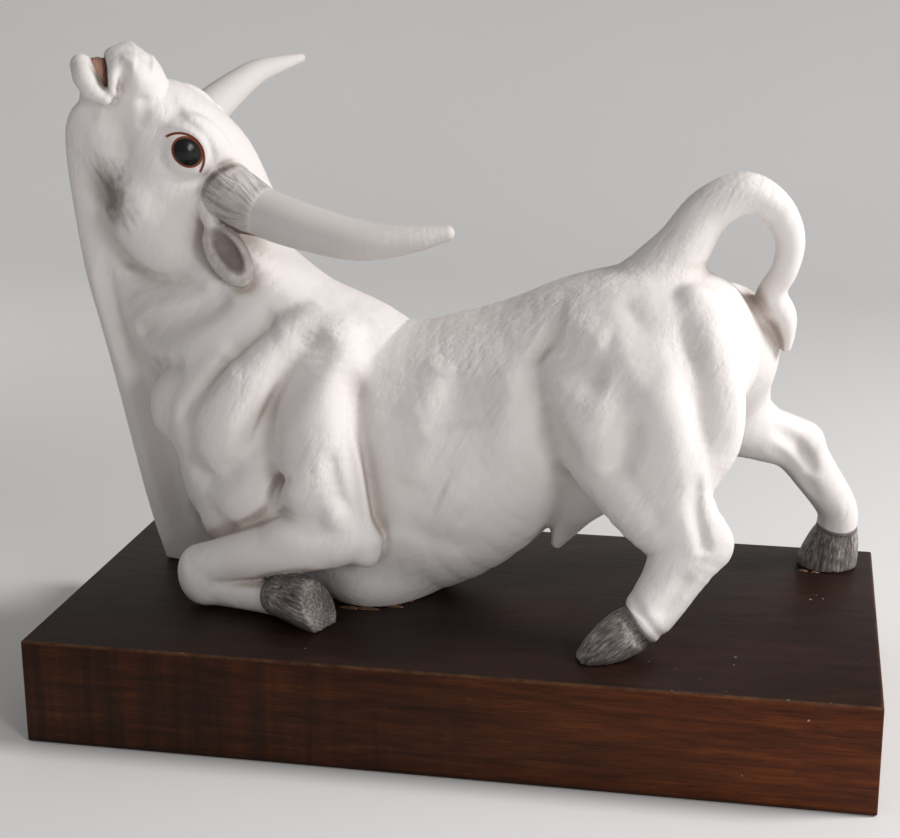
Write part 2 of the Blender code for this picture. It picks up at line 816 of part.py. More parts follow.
def make_plinth():
    bm = bmesh.new()
    bmesh.ops.create_cube(bm, size=1.0)
    size = np.array([PLINTH_LENGTH, PLINTH_DEPTH, PLINTH_HEIGHT]) * MM
    bmesh.ops.scale(bm, vec=size, verts=bm.verts)
    bmesh.ops.translate(bm, vec=(0, 0, size[2] / 2), verts=bm.verts)
    bmesh.ops.bevel(bm, geom=bm.edges[:], offset=PLINTH_CHAMFER * MM, segments=1, affect="EDGES")
    mesh = bpy.data.meshes.new("plinth")
    bm.to_mesh(mesh)
    bm.free()
    plinth = bpy.data.objects.new("plinth", mesh)
    bpy.context.collection.objects.link(plinth)
    mesh.materials.append(material("stained_wood", STAINED_WOOD, 0.45))
    return plinth


def main():
    for obj in list(bpy.data.objects):
        bpy.data.objects.remove(obj)
    make_plinth()
    make_bull()


main()
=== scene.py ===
# A kneeling bull in white bisque porcelain, head thrown back, on a dark stained wooden plinth.
#
# The plinth comes first, then the casting that stands on it, then the glue that holds it down.
# All lengths below are metres in the frame of the CAD model, except inside the bull's own section,
# where the clay is worked in millimetres.

import math

import bpy
import numpy as np
from mathutils import Matrix, Vector
from mathutils.noise import noise as soft_noise


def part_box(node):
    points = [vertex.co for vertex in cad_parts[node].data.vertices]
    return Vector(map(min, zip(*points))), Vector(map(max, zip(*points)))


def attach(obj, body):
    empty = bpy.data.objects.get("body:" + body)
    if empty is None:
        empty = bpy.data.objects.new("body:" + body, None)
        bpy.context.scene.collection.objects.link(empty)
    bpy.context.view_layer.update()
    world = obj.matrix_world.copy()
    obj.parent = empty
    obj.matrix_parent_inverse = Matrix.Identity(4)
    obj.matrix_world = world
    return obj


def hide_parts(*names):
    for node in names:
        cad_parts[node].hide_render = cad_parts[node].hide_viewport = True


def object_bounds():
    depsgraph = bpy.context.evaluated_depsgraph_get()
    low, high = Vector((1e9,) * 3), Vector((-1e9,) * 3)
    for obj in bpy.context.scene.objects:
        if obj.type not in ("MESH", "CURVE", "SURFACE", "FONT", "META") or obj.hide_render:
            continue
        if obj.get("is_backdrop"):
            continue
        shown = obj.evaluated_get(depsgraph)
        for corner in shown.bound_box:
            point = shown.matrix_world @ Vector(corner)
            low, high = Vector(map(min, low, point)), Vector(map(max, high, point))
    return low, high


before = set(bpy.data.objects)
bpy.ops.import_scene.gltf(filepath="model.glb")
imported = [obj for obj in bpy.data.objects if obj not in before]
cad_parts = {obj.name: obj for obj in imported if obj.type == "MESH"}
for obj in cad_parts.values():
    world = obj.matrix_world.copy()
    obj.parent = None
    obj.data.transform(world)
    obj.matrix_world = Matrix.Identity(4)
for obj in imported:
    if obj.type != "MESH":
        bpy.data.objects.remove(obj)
cad_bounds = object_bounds()

# The plinth: one block of hardwood, sawn square, its edges just broken with sandpaper, then stained
# nearly black. A red-brown grain shows on the front, which is coloured lighter towards its right end
# as painted light; the top is coloured darker than the front, and the stain has rubbed thin along the
# top edges. It stands under the bull and carries it.

plinth_low, plinth_high = (Vector(corner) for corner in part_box("plinth"))
EDGE_ROUNDING = 0.0012
WORN_EDGE = 0.0022
FOOT_SHADE = 0.0035


def add_node(tree, kind, inputs=None, **settings):
    """A shader node with its settings made, and each input either set or linked."""
    node = tree.nodes.new(kind)
    for name, value in settings.items():
        setattr(node, name, value)
    for name, value in (inputs or {}).items():
        if isinstance(value, bpy.types.NodeSocket):
            tree.links.new(value, node.inputs[name])
        else:
            node.inputs[name].default_value = value
    return node


def ramp(tree, factor, *stops):
    """A colour ramp over the factor. A stop is a position and a grey value or a colour."""
    node = add_node(tree, "ShaderNodeValToRGB", {"Fac": factor})
    elements = node.color_ramp.elements
    while len(elements) < len(stops):
        elements.new(0.5)
    for element, (position, colour) in zip(elements, stops):
        element.position = position
        element.color = (*colour, 1.0) if isinstance(colour, tuple) else (colour, colour, colour, 1.0)
    return node.outputs["Color"]


def mix(tree, factor, below, above, blend="MIX"):
    """One colour over another, by the factor."""
    node = tree.nodes.new("ShaderNodeMix")
    node.data_type = "RGBA"
    node.blend_type = blend
    for socket, value in zip((node.inputs[0], node.inputs[6], node.inputs[7]), (factor, below, above)):
        if isinstance(value, bpy.types.NodeSocket):
            tree.links.new(value, socket)
        else:
            socket.default_value = (*value, 1.0) if isinstance(value, tuple) else value
    return node.outputs[2]


def maths(tree, operation, *values):
    """The result of one sum on sockets or numbers."""
    return add_node(tree, "ShaderNodeMath", dict(enumerate(values)), operation=operation).outputs[0]


def product(tree, *factors):
    """The factors multiplied together."""
    result = factors[0]
    for factor in factors[1:]:
        result = maths(tree, "MULTIPLY", result, factor)
    return result


def rest_of(tree, factor):
    """1 where the factor is 0, and 0 where it is 1."""
    return maths(tree, "SUBTRACT", 1.0, factor)


def between(tree, value, start, end):
    """0 where the value is at start, 1 where it is at end, and a smooth step between."""
    return add_node(
        tree, "ShaderNodeMapRange", {"Value": value, "From Min": start, "From Max": end},
        interpolation_type="SMOOTHSTEP",
    ).outputs[0]


def new_material(name):
    """An empty material, with its shader and its node tree."""
    made = bpy.data.materials.new(name)
    made.use_nodes = True
    return made, made.node_tree, made.node_tree.nodes["Principled BSDF"]


def stretched(tree, scale, place):
    """The given coordinates, scaled along each axis."""
    return add_node(tree, "ShaderNodeMapping", {"Vector": place, "Scale": scale}).outputs[0]


def along_axes(tree, place):
    """The three parts of the given coordinates, by axis."""
    return add_node(tree, "ShaderNodeSeparateXYZ", {"Vector": place}).outputs


def pattern(tree, place, scale, detail=3.0, roughness=0.5, distortion=0.0):
    """Soft noise over the given coordinates."""
    return add_node(tree, "ShaderNodeTexNoise", {
        "Vector": place, "Scale": scale, "Detail": detail, "Roughness": roughness, "Distortion": distortion,
    }).outputs["Fac"]


def spread_over(tree, noise, low, high):
    """The noise's usual range, spread from the low value to the high one."""
    return add_node(tree, "ShaderNodeMapRange", {
        "Value": noise, "From Min": 0.3, "From Max": 0.7, "To Min": low, "To Max": high}).outputs[0]


def laid_on(tree, colour, paint, *masks):
    """The colour with paint laid over it, as thickly as the masks multiplied together say."""
    return mix(tree, product(tree, *masks), colour, paint)


def finished(tree, shader, colour, height, strength, distance):
    """The shader given its colour and its bump."""
    tree.links.new(colour, shader.inputs["Base Color"])
    bump = add_node(tree, "ShaderNodeBump", {"Strength": strength, "Distance": distance, "Height": height})
    tree.links.new(bump.outputs[0], shader.inputs["Normal"])


def stained_wood():
    made, tree, shader = new_material("stained_wood_grain")
    where = add_node(tree, "ShaderNodeTexCoord")
    place = where.outputs["Object"]
    upward = between(tree, along_axes(tree, where.outputs["Normal"])["Z"], 0.4, 0.8)
    spot = along_axes(tree, place)
    grain = pattern(tree, stretched(tree, (4.5, 26.0, 44.0), place), 4.0, 6.0, 0.66, 0.35)
    fibres = pattern(tree, stretched(tree, (9.0, 420.0, 520.0), place), 3.0, 3.0, 0.6)
    pores = pattern(tree, stretched(tree, (45.0, 900.0, 900.0), place), 2.0, 2.0, 0.6)
    runs = pattern(tree, stretched(tree, (55.0, 30.0, 3.0), place), 1.6, 3.0, 0.6)
    clouds = pattern(tree, place, 9.0)
    front = ramp(tree, grain, (0.28, (0.024, 0.0068, 0.0022)), (0.45, (0.046, 0.0125, 0.0034)),
                 (0.58, (0.066, 0.0180, 0.0046)), (0.72, (0.100, 0.0290, 0.0070)))
    # The front is coloured lighter and redder towards its right end: painted light from the right.
    front_lit_from_right = between(tree, spot["X"], plinth_low.x * 0.3, plinth_high.x)
    painted_light_warmth = ramp(tree, front_lit_from_right, (0.0, 1.0), (1.0, (1.65, 1.45, 1.35)))
    front = mix(tree, front_lit_from_right, front, painted_light_warmth, "MULTIPLY")
    # The top is given its own colour, darker than the front.
    top = ramp(tree, grain, (0.30, (0.0130, 0.0058, 0.0044)), (0.52, (0.0200, 0.0084, 0.0056)),
               (0.75, (0.0350, 0.0135, 0.0075)))
    colour = mix(tree, upward, front, top)
    thin = ramp(tree, fibres, (0.30, 0.52), (0.50, 0.96), (0.70, 1.28))
    colour = mix(tree, 0.75, colour, thin, "MULTIPLY")
    colour = mix(tree, 0.65, colour, ramp(tree, pores, (0.30, 0.35), (0.40, 1.0)), "MULTIPLY")
    # Stain that ran down the left half of the front, in dark uprights.
    left_end = between(tree, spot["X"], plinth_high.x * 0.45, plinth_low.x * 0.7)
    dark_runs = ramp(tree, runs, (0.40, 1.0), (0.60, 0.0))
    colour = laid_on(tree, colour, (0.016, 0.006, 0.003), dark_runs, left_end, rest_of(tree, upward), 0.7)
    colour = mix(tree, 0.5, colour, ramp(tree, clouds, (0.35, 0.66), (0.65, 1.25)), "MULTIPLY")
    # The stain is rubbed through in patches along the top edges of the front and the two ends.
    below_top = maths(tree, "SUBTRACT", plinth_high.z, spot["Z"])
    from_front = maths(tree, "SUBTRACT", spot["Y"], plinth_low.y)
    from_left = maths(tree, "SUBTRACT", spot["X"], plinth_low.x)
    from_right = maths(tree, "SUBTRACT", plinth_high.x, spot["X"])
    from_side = maths(tree, "MINIMUM", from_front, maths(tree, "MINIMUM", from_left, from_right))
    worn = between(tree, maths(tree, "ADD", below_top, from_side), WORN_EDGE, WORN_EDGE * 0.25)
    patchy = ramp(tree, pattern(tree, place, 80.0, 4.0, 0.7), (0.35, 0.15), (0.62, 1.0))
    colour = laid_on(tree, colour, (0.17, 0.078, 0.034), worn, patchy, 0.6)
    # A dark line of shade and dirt runs along the foot.
    foot = between(tree, spot["Z"], FOOT_SHADE, FOOT_SHADE * 0.3)
    colour = laid_on(tree, colour, (0.008, 0.005, 0.004), foot, 0.6)
    # Dust and plaster specks caught in the open grain.
    dust = pattern(tree, place, 260.0, 1.0)
    dusty = between(tree, clouds, 0.50, 0.62)
    colour = laid_on(tree, colour, (0.42, 0.38, 0.34), between(tree, dust, 0.775, 0.80), dusty, 0.6)
    tree.links.new(spread_over(tree, fibres, 0.36, 0.54), shader.inputs["Roughness"])
    shader.inputs["Specular IOR Level"].default_value = 0.14
    height = maths(tree, "ADD", product(tree, fibres, 0.6), product(tree, pores, 0.8))
    finished(tree, shader, colour, height, 0.35, 0.0003)
    return made


bpy.ops.object.select_all(action="DESELECT")
bpy.ops.mesh.primitive_cube_add(size=1.0)
plinth = bpy.context.object
plinth.name = "plinth_block"
bpy.ops.object.mode_set(mode="EDIT")
bpy.ops.mesh.select_all(action="SELECT")
bpy.ops.transform.resize(value=plinth_high - plinth_low)
bpy.ops.transform.translate(value=(plinth_low + plinth_high) / 2)
bpy.ops.mesh.bevel(offset=EDGE_ROUNDING, segments=3, affect="EDGES")
bpy.ops.object.mode_set(mode="OBJECT")
bpy.ops.object.shade_smooth_by_angle(angle=math.radians(20))
plinth.data.materials.append(stained_wood())
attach(plinth, "root")
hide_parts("plinth")

# The bull: one hollow slip casting of white porcelain, left unglazed, so it is matt, and glued to the
# plinth. Its folds came from the mould and were toned by hand with a thin grey-beige wash that stays
# in the hollows; the colour is made darker still in the deep folds, the jaw hollows and along the hair
# at the horn's root as painted shade. The eyes, mouth and hooves are painted, and only the eyes are glossy.

# It is worked here as it is in the CAD model, in millimetres from the middle of the plinth's top:
# masses are laid on and blended, folds are pressed in, and a closed skin is drawn over the result,
# on a finer grid than the CAD model's. Tool dents, hair and brush marks are the finish's bump.

bull_low, bull_high = (np.array(corner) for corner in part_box("bull"))
MM = 0.001
BULL_LENGTH = (bull_high[0] - bull_low[0]) / MM
BULL_FOOT = bull_low[2] / MM
# The grid that the fine skin is drawn on, in drawn millimetres, and how many triangles are kept.
CLAY_LOW = (-285.0, -125.0, -8.0)
CLAY_HIGH = (275.0, 215.0, 375.0)
SKIN_STEP = 1.8
FINE_TRIANGLES = 192000

# The deepest a fold goes, and how far from the skin the folds are worked out.
MARK_LIMIT = 8.0
MARK_DEPTH = 25.0

# A distance past everything, and how many fine grid steps make one coarse step.
FAR = 1000.0
COARSE = 4


def unit(vector):
    vector = np.asarray(vector, float)
    return vector / np.linalg.norm(vector)


class Mass:
    """One lump of clay: its bounding box and its distance field."""

    def __init__(self, low, high, distance):
        self.low = np.asarray(low, float)
        self.high = np.asarray(high, float)
        self.distance = distance

    def posed(self, axes, origin, size=1.0):
        """The same lump, moved from its own frame into the bull's: axes holds the frame's unit columns."""
        corners = np.array(
            [[x, y, z] for x in (self.low[0], self.high[0])
             for y in (self.low[1], self.high[1])
             for z in (self.low[2], self.high[2])]
        ) @ axes.T * size + origin
        inner = self.distance
        return Mass(corners.min(0), corners.max(0), lambda p: size * inner((p - origin) @ axes / size))

    def carved(self, hollow):
        """The same lump with another one scooped out of it."""
        inner = self.distance
        return Mass(self.low, self.high, lambda p: -soft_min(-inner(p), hollow.distance(p), 2.0))


def ellipse_distance(parts, radii):
    """Distance to an ellipsoid whose local offsets are parts and whose semi-axes are radii."""
    ratio = sum((q / r) ** 2 for q, r in zip(parts, radii)) ** 0.5
    slope = sum((q / (r * r)) ** 2 for q, r in zip(parts, radii)) ** 0.5
    return ratio * (ratio - 1.0) / np.maximum(slope, 1e-9)


def ball(centre, radii, along=(1, 0, 0), up=(0, 0, 1)):
    """An ellipsoid whose first semi-axis lies along, and whose third lies near up."""
    centre = np.asarray(centre, float)
    radii = np.asarray(radii, float) * np.ones(3)
    first = unit(along)
    second = unit(np.cross(up, first))
    axes = np.column_stack([first, second, np.cross(first, second)])
    reach = np.sqrt(((axes * radii) ** 2).sum(1))

    def distance(p):
        q = (p - centre) @ axes
        return ellipse_distance((q[:, 0], q[:, 1], q[:, 2]), radii)

    return Mass(centre - reach, centre + reach, distance)


def beyond(centre, normal):
    """Everything past a plane, to carve a flat face with."""
    normal = unit(normal)
    return Mass([-FAR] * 3, [FAR] * 3, lambda p: -((p - np.asarray(centre, float)) @ normal))


def smooth_rows(rows, pieces):
    """Rows of numbers as a smooth curve through them (Catmull-Rom), with this many pieces for each span."""
    rows = np.asarray(rows, float)
    padded = np.vstack([2 * rows[0] - rows[1], rows, 2 * rows[-1] - rows[-2]])
    made = []
    for i in range(len(rows) - 1):
        a, b, c, d = padded[i:i + 4]
        for t in np.arange(pieces) / pieces:
            bend, twist = 2 * a - 5 * b + 4 * c - d, 3 * b - a - 3 * c + d
            made.append(0.5 * (2 * b + (c - a) * t + bend * t**2 + twist * t**3))
    made.append(rows[-1])
    return np.array(made)


def limb(stations, side=(0, 1, 0), pieces=5):
    """A tapering oval bar. A station is x, y, z, its half-width along side and its half-depth across."""
    rows = smooth_rows(stations, pieces)
    centres = rows[:, :3]
    widths = np.maximum(rows[:, 3], 0.8)
    depths = np.maximum(rows[:, 4], 0.8)
    reach = np.maximum(widths, depths)[:, None]

    def distance(p):
        nearest = np.full(len(p), FAR)
        for i in range(len(centres) - 1):
            step = centres[i + 1] - centres[i]
            length = np.linalg.norm(step)
            axis = step / length
            across = unit(np.asarray(side, float) - axis * (axis @ np.asarray(side, float)))
            third = np.cross(axis, across)
            q = p - centres[i]
            along = q @ axis
            t = np.clip(along / length, 0, 1)
            width = widths[i] + t * (widths[i + 1] - widths[i])
            depth = depths[i] + t * (depths[i + 1] - depths[i])
            found = ellipse_distance(
                (q @ across, q @ third, along - t * length), (width, depth, np.minimum(width, depth))
            )
            np.minimum(nearest, found, out=nearest)
        return nearest

    return Mass((centres - reach).min(0), (centres + reach).max(0), distance)


def soft_min(a, b, blend):
    h = np.maximum(blend - np.abs(a - b), 0) / blend
    return np.minimum(a, b) - h * h * blend / 4


def line_distance(p, points):
    """Distance from each point to an open polyline, and how far along it (0 to 1) the nearest spot is."""
    nearest = np.full(len(p), FAR)
    share = np.zeros(len(p))
    for i, (a, b) in enumerate(zip(points[:-1], points[1:])):
        step = b - a
        t = np.clip((p - a) @ step / (step @ step), 0, 1)
        away = np.linalg.norm(p - a - t[:, None] * step, axis=1)
        closer = away < nearest
        nearest[closer] = away[closer]
        share[closer] = (i + t[closer]) / (len(points) - 1)
    return nearest, share


class Clay:
    """The list of what is laid on, cut away and pressed in, in order."""

    def __init__(self):
        self.steps = []

    def add(self, mass, blend=10.0):
        self.steps.append(("add", mass, blend))

    def cut(self, mass, blend=3.0):
        self.steps.append(("cut", mass, blend))

    def marks(self, rows, side=None, plane=10.0, strength=1.0, pose=None):
        """Ridges (height above 0) and grooves, each a width, a height and the points of a smooth line.

        With side -1 or 1 they are drawn on that flank: the points are x and z alone, and a line marks
        whatever lies on that side of the plane y. The pose (axes, origin, size) is the frame they are
        drawn in. Where marks cross they add up, but never past MARK_LIMIT."""
        lines = [(width, strength * height, smooth_rows(points, 4)) for width, height, *points in rows]
        self.steps.append(("marks", lines, side, plane, pose))

    def field(self, p):
        d = np.full(len(p), FAR)
        for step in self.steps:
            if step[0] == "marks":
                self.press(d, p, *step[1:])
                continue
            kind, mass, blend = step
            margin = blend + COARSE * SKIN_STEP
            near = np.all((p > mass.low - margin) & (p < mass.high + margin), axis=1)
            if not near.any():
                continue
            if kind == "add":
                d[near] = soft_min(d[near], mass.distance(p[near]), blend)
            else:
                d[near] = -soft_min(-d[near], mass.distance(p[near]), blend)
        return d

    @staticmethod
    def press(d, p, lines, side, plane, pose):
        near = np.flatnonzero(np.abs(d) < MARK_DEPTH)
        q = p[near]
        if pose is not None:
            axes, origin, size = pose
            q = (q - origin) @ axes / size
        if side is not None:
            kept = side * (q[:, 1] - plane) > 0
            near, q = near[kept], q[kept][:, [0, 2]]
        total = np.zeros(len(q))
        for width, height, points in lines:
            reach = 2.6 * width
            found = np.all((q > points.min(0) - reach) & (q < points.max(0) + reach), axis=1)
            if not found.any():
                continue
            away, share = line_distance(q[found], points)
            rise = np.clip(4 * np.minimum(share, 1 - share) + 0.1, 0, 1)
            fade = rise * rise * (3 - 2 * rise)
            total[found] += height * fade * np.exp(-((away / width) ** 2))
        d[near] -= MARK_LIMIT * np.tanh(total / MARK_LIMIT)


def body(clay):
    """Trunk, neck and dewlap. Stations run from the rump to the chest, then up to the head."""
    clay.add(limb([
        (140, 5, 170, 36, 44),
        (112, 5, 160, 48, 58),
        (80, 6, 147, 55, 64),
        (45, 8, 134, 58, 62),
        (10, 9, 112, 62, 73),
        (-30, 10, 90, 66, 86),
        (-70, 11, 84, 66, 93),
        (-105, 13, 97, 62, 97),
        (-135, 15, 110, 54, 88),
    ]), 12)
    clay.add(limb([
        (-95, 13, 128, 56, 60),
        (-136, 15, 152, 53, 61),
        (-169, 19, 181, 44, 60),
        (-182, 28, 209, 32, 59),
        (-187, 33, 236, 28, 51),
        (-188, 37, 254, 26, 44),
    ]), 10)
    clay.add(limb([
        (-223, -27, 310, 8, 15),
        (-228, -20, 292, 9, 20),
        (-233, -9, 272, 9, 20),
        (-233, 3, 240, 8.5, 22),
        (-232, 11, 205, 8, 22),
        (-225, 21, 160, 8, 23),
        (-213, 25, 105, 7.5, 25),
        (-200, 32, 45, 7.5, 28),
        (-190, 34, 3, 9, 27),
    ], side=(-0.2, 1, 0)), 16)


# The chest's middle, and how far beside it each side's half begins.
CHEST_MIDDLE = 12
HALF_GAP = 1.0


def beside(side):
    """How far out a place lies on one side of the chest, turned into its y."""
    return lambda distance: CHEST_MIDDLE + side * HALF_GAP + side * distance


def shoulder(clay, side):
    """Shoulder, breast and upper arm of one side."""
    out = beside(side)
    clay.add(ball((-98, out(36), 130), (44, 20, 30), (0.45, 0, 1)), 12)
    clay.add(ball((-150, out(29), 118), (44, 30, 42), (0.6, 0, 1)), 16)
    clay.add(ball((-184, out(24), 124), (20, 19, 28), (1, 0, -0.35)), 5)
    clay.add(ball((-142, out(34), 76), (36, 26, 34)), 12)
    clay.add(limb([
        (-126, out(24), 190, 6, 8),
        (-136, out(30), 184, 10, 12),
        (-152, out(33), 172, 10, 13),
        (-170, out(32), 160, 9, 11),
        (-184, out(27), 152, 7, 8),
    ]), 7)
    clay.add(limb([
        (-94, out(27), 182, 6, 8),
        (-104, out(37), 173, 11, 14),
        (-126, out(51), 148, 12, 19),
        (-142, out(55), 124, 12, 21),
        (-149, out(54), 104, 12, 18),
        (-150, out(50), 92, 10, 13),
    ]), 5)
    clay.add(ball((-127, out(52), 73), (31, 18, 26), (1, 0, -0.3)), 5)
    clay.add(limb([
        (-80, out(32), 172, 8, 12),
        (-86, out(44), 150, 17, 22),
        (-88, out(54), 122, 20, 29),
        (-83, out(62), 96, 21, 26),
        (-79, out(66), 70, 17, 23),
        (-68, out(68), 52, 13, 15),
    ]), 12)
    clay.add(limb([
        (-66, out(60), 120, 8, 6),
        (-60, out(66), 100, 8, 7),
        (-56, out(67), 78, 8, 7),
        (-54, out(67), 56, 9, 8),
    ]), 4)
    clay.add(ball((-92, out(67), 86), (15, 17, 17)), 7)
    clay.add(ball((-146, out(38), 50), (22, 16, 20)), 10)


def dewlap_folds():
    """Each fold or muscle is a width, a height and its points, which on a flank are an x and a z."""
    return (
        (4, 1.5, (-247, 221), (-247, 190), (-240, 147), (-230, 113), (-219, 53), (-207, 10)),
        (5, -2.4, (-237, 222), (-236, 190), (-228, 150), (-216, 105), (-207, 53), (-197, 10)),
    )


def shoulder_folds():
    return (
        (7, -9, (-145, 198), (-156, 190), (-172, 181), (-189, 173), (-206, 166), (-218, 163)),
        (4.5, -4, (-136, 166), (-147, 154), (-156, 143), (-165, 133), (-172, 124), (-177, 112)),
        (10, -3.5, (-114, 182), (-124, 175), (-134, 166), (-144, 156)),
        (6, -3.5, (-208, 140), (-198, 146), (-186, 149), (-174, 152)),
        (12, -9, (-82, 178), (-90, 163), (-104, 147), (-117, 128), (-121, 112), (-120, 98)),
        (5, -3.5, (-75, 114), (-72, 96), (-68, 80), (-64, 64)),
        (8, -6, (-72, 162), (-66, 139), (-60, 116), (-54, 92), (-49, 66), (-47, 52)),
        (4, -5, (-96, 94), (-107, 88), (-113, 80), (-116, 70), (-124, 61), (-137, 54)),
        (7, -3, (-176, 98), (-170, 92), (-162, 85), (-152, 82), (-141, 88), (-134, 98)),
    )


def rib_folds():
    return (
        (11, 3.5, (-8, 162), (-18, 144), (-30, 124)),
        (11, 3, (-16, 126), (-22, 108), (-30, 88)),
        (16, -4, (4, 156), (2, 140), (4, 122)),
        (11, 4, (31, 166), (33, 152), (31, 129), (26, 96)),
        (13, -7, (48, 174), (52, 158), (56, 139), (56, 108)),
        (16, 3, (-10, 84), (8, 76)),
        (8, -2, (-36, 68), (-12, 50), (12, 50)),
    )


def haunch_folds():
    return (
        (12, -6, (44, 178), (66, 166), (92, 158)),
        (10, 3, (58, 188), (73, 186), (90, 180)),
        (7, -3.5, (53, 146), (58, 128), (74, 112)),
        (8, -6, (98, 142), (101, 128), (100, 116), (97, 104)),
        (6, -2, (94, 118), (106, 104), (118, 88), (126, 76)),
        (8, -3, (94, 206), (103, 190), (112, 174), (121, 157)),
        (7, -2.5, (126, 196), (136, 172), (142, 148), (143, 124), (142, 104)),
        (4, -4, (145, 112), (143, 92), (147, 75), (151, 62)),
        (4, -2.5, (143, 54), (133, 38), (124, 26)),
        (2.5, -2, (99, 36), (108, 24), (117, 12), (124, 2)),
        (3, -1.5, (107, 40), (116, 28), (125, 16), (131, 6)),
    )


def far_leg_folds():
    """The folds of the leg stretched out behind, whose points are an x, a y and a z."""
    return (
        (5, -3.5, (182, 50, 106), (196, 64, 94), (206, 71, 80), (212, 76, 66)),
        (4, -3, (182, 48, 94), (200, 66, 72), (216, 76, 50)),
        (5, -3.5, (178, 86, 106), (194, 98, 92), (206, 101, 74)),
    )


def foreleg(clay, side):
    """A foreleg folded under: forearm forward to the knee, cannon and hoof back below it."""
    out = beside(side)
    clay.add(limb([
        (-76, out(68), 50, 15, 16),
        (-98, out(70), 47, 16, 17),
        (-125, out(68), 40, 15, 16),
        (-148, out(64), 32, 14, 14),
        (-163, out(60), 24, 15, 16),
    ]), 5)
    clay.add(ball((-163, out(60), 18), (15, 15, 17)), 5)
    clay.add(ball((-58, out(66), 50), (11, 11, 16), (1, 0, 0.3)), 5)
    clay.add(ball((-73, out(76), 71), (8, 9, 9.5)), 4)
    clay.add(ball((-96, out(74), 55), (22, 12, 12), (1, 0, 0.1)), 6)
    clay.add(limb([
        (-160, out(60), 13, 12, 12),
        (-142, out(64), 12, 10, 11),
        (-120, out(70), 12, 10, 10.5),
        (-104, out(76), 14, 12, 12),
    ]), 4)
    clay.add(fore_hoof(side), 1.5)


def fore_hoof(side):
    """A fore hoof, laid back with its flat sole in view."""
    out = beside(side)
    hoof = limb([
        (-106, out(77), 16, 13, 13.5),
        (-94, out(80), 15, 15, 15.5),
        (-80, out(84), 11, 15, 15),
        (-64, out(88), 5, 13, 12),
    ])
    return hoof.carved(beyond((-83, out(84), 17), (0.87, side * 0.35, 0.35)))


def left_hind(clay):
    """The left hind leg, set forward under the belly."""
    clay.add(limb([
        (108, -16, 176, 32, 50),
        (106, -34, 146, 33, 60),
        (112, -46, 116, 28, 47),
        (121, -55, 90, 20, 32),
        (138, -61, 66, 15.5, 23.5),
        (131, -67, 44, 14, 17.5),
        (119, -74, 25, 14.5, 15.5),
        (114, -77, 19, 15, 14),
    ]), 10)
    clay.add(ball((154, -61, 65), (12, 9, 14)), 7)
    clay.add(limb([
        (57, -38, 166, 8, 10),
        (70, -52, 152, 10, 15),
        (84, -61, 136, 12, 17),
        (90, -61, 118, 10, 13),
    ]), 8)
    clay.add(limb([
        (98, -36, 186, 10, 9),
        (110, -48, 168, 12, 13),
        (121, -61, 147, 12, 15),
        (129, -65, 125, 12, 16),
        (133, -63, 104, 11, 15),
        (133, -61, 86, 12, 14),
    ]), 8)
    clay.add(limb([
        (136, -24, 200, 10, 10),
        (149, -38, 170, 14, 14),
        (155, -46, 146, 14, 14),
        (154, -47, 122, 13, 13),
        (147, -48, 104, 11, 10),
    ]), 7)
    clay.add(left_hoof(), 1.2)


def left_hoof():
    return limb([
        (110, -78, 16, 14.5, 14),
        (102, -81, 11, 16.5, 13.5),
        (92, -84, 4, 17, 10.5),
        (83, -86, -2, 15, 6),
    ])


def right_hind(clay):
    """The right hind leg, stretched out behind."""
    clay.add(limb([
        (122, 30, 164, 30, 42),
        (140, 42, 144, 30, 44),
        (156, 55, 114, 23, 28),
        (176, 67, 98, 16, 19),
        (197, 79, 87, 14, 17),
        (213, 86, 65, 12.5, 14.5),
        (227, 92, 42, 14, 13),
        (228, 95, 26, 14, 13),
    ], side=(-0.35, 1, 0)), 10)
    clay.add(ball((206, 79, 91), (9, 8, 9)), 9)
    clay.add(right_hoof(), 1.2)


def right_hoof():
    return limb([
        (228, 95, 22, 14, 14),
        (226, 96, 14, 17, 17),
        (223, 97, 2, 19, 19.5),
    ], side=(-0.2, 1, 0))


def buttocks(clay):
    """The two rounded seats, with the cleft between them."""
    clay.add(ball((139, -20, 156), (29, 24, 50), (1, -0.3, 0)), 8)
    clay.add(ball((150, 36, 158), (36, 27, 43), (1, 0.1, 0)), 8)
    clay.cut(limb([
        (158, 7, 190, 2, 4),
        (180, 6, 172, 3.5, 8),
        (184, 6, 152, 4, 11),
        (178, 6, 128, 4, 9),
        (160, 6, 102, 3, 6),
    ]), 12)


def belly_fold(clay):
    """The belly sags beside the near foreleg and rests on the plinth there."""
    clay.add(ball((-62, -6, 12), (33, 35, 22)), 14)


def sheath(clay):
    clay.add(limb([(74, -10, 80, 15, 22), (67, -8, 66, 12, 14), (60, -5, 52, 8, 9), (55, -4, 40, 4, 4)]), 6)


def tail(clay):
    """The tail rises from the croup, curls over and lays its tuft on the right buttock."""
    clay.add(limb([
        (112, 8, 206, 22, 22),
        (126, 8, 226, 17, 17),
        (141, 9, 249, 14, 14),
        (162, 10, 260, 12.5, 12.5),
        (180, 12, 251, 10.5, 10.5),
        (189, 15, 233, 9, 9),
        (187, 18, 214, 8, 8),
        (180, 22, 200, 8, 8),
        (179, 26, 190, 9, 8),
    ], pieces=7), 8)
    tuft = [(180, 24, 196, 9, 8), (187, 28, 184, 10, 8), (190, 30, 172, 7, 5), (190, 30, 163, 3, 3)]
    clay.add(limb(tuft), 5)


def head_pose():
    """The head's axes (to the muzzle, to its left, out of the forehead), where it sits, and its size."""
    forward = unit((-0.302, -0.402, 0.865))
    left = unit((0.394, -0.878, -0.271))
    axes = np.column_stack([forward, left, np.cross(forward, left)])
    return axes, np.array([-161.9, 25.3, 256.7]), 0.982


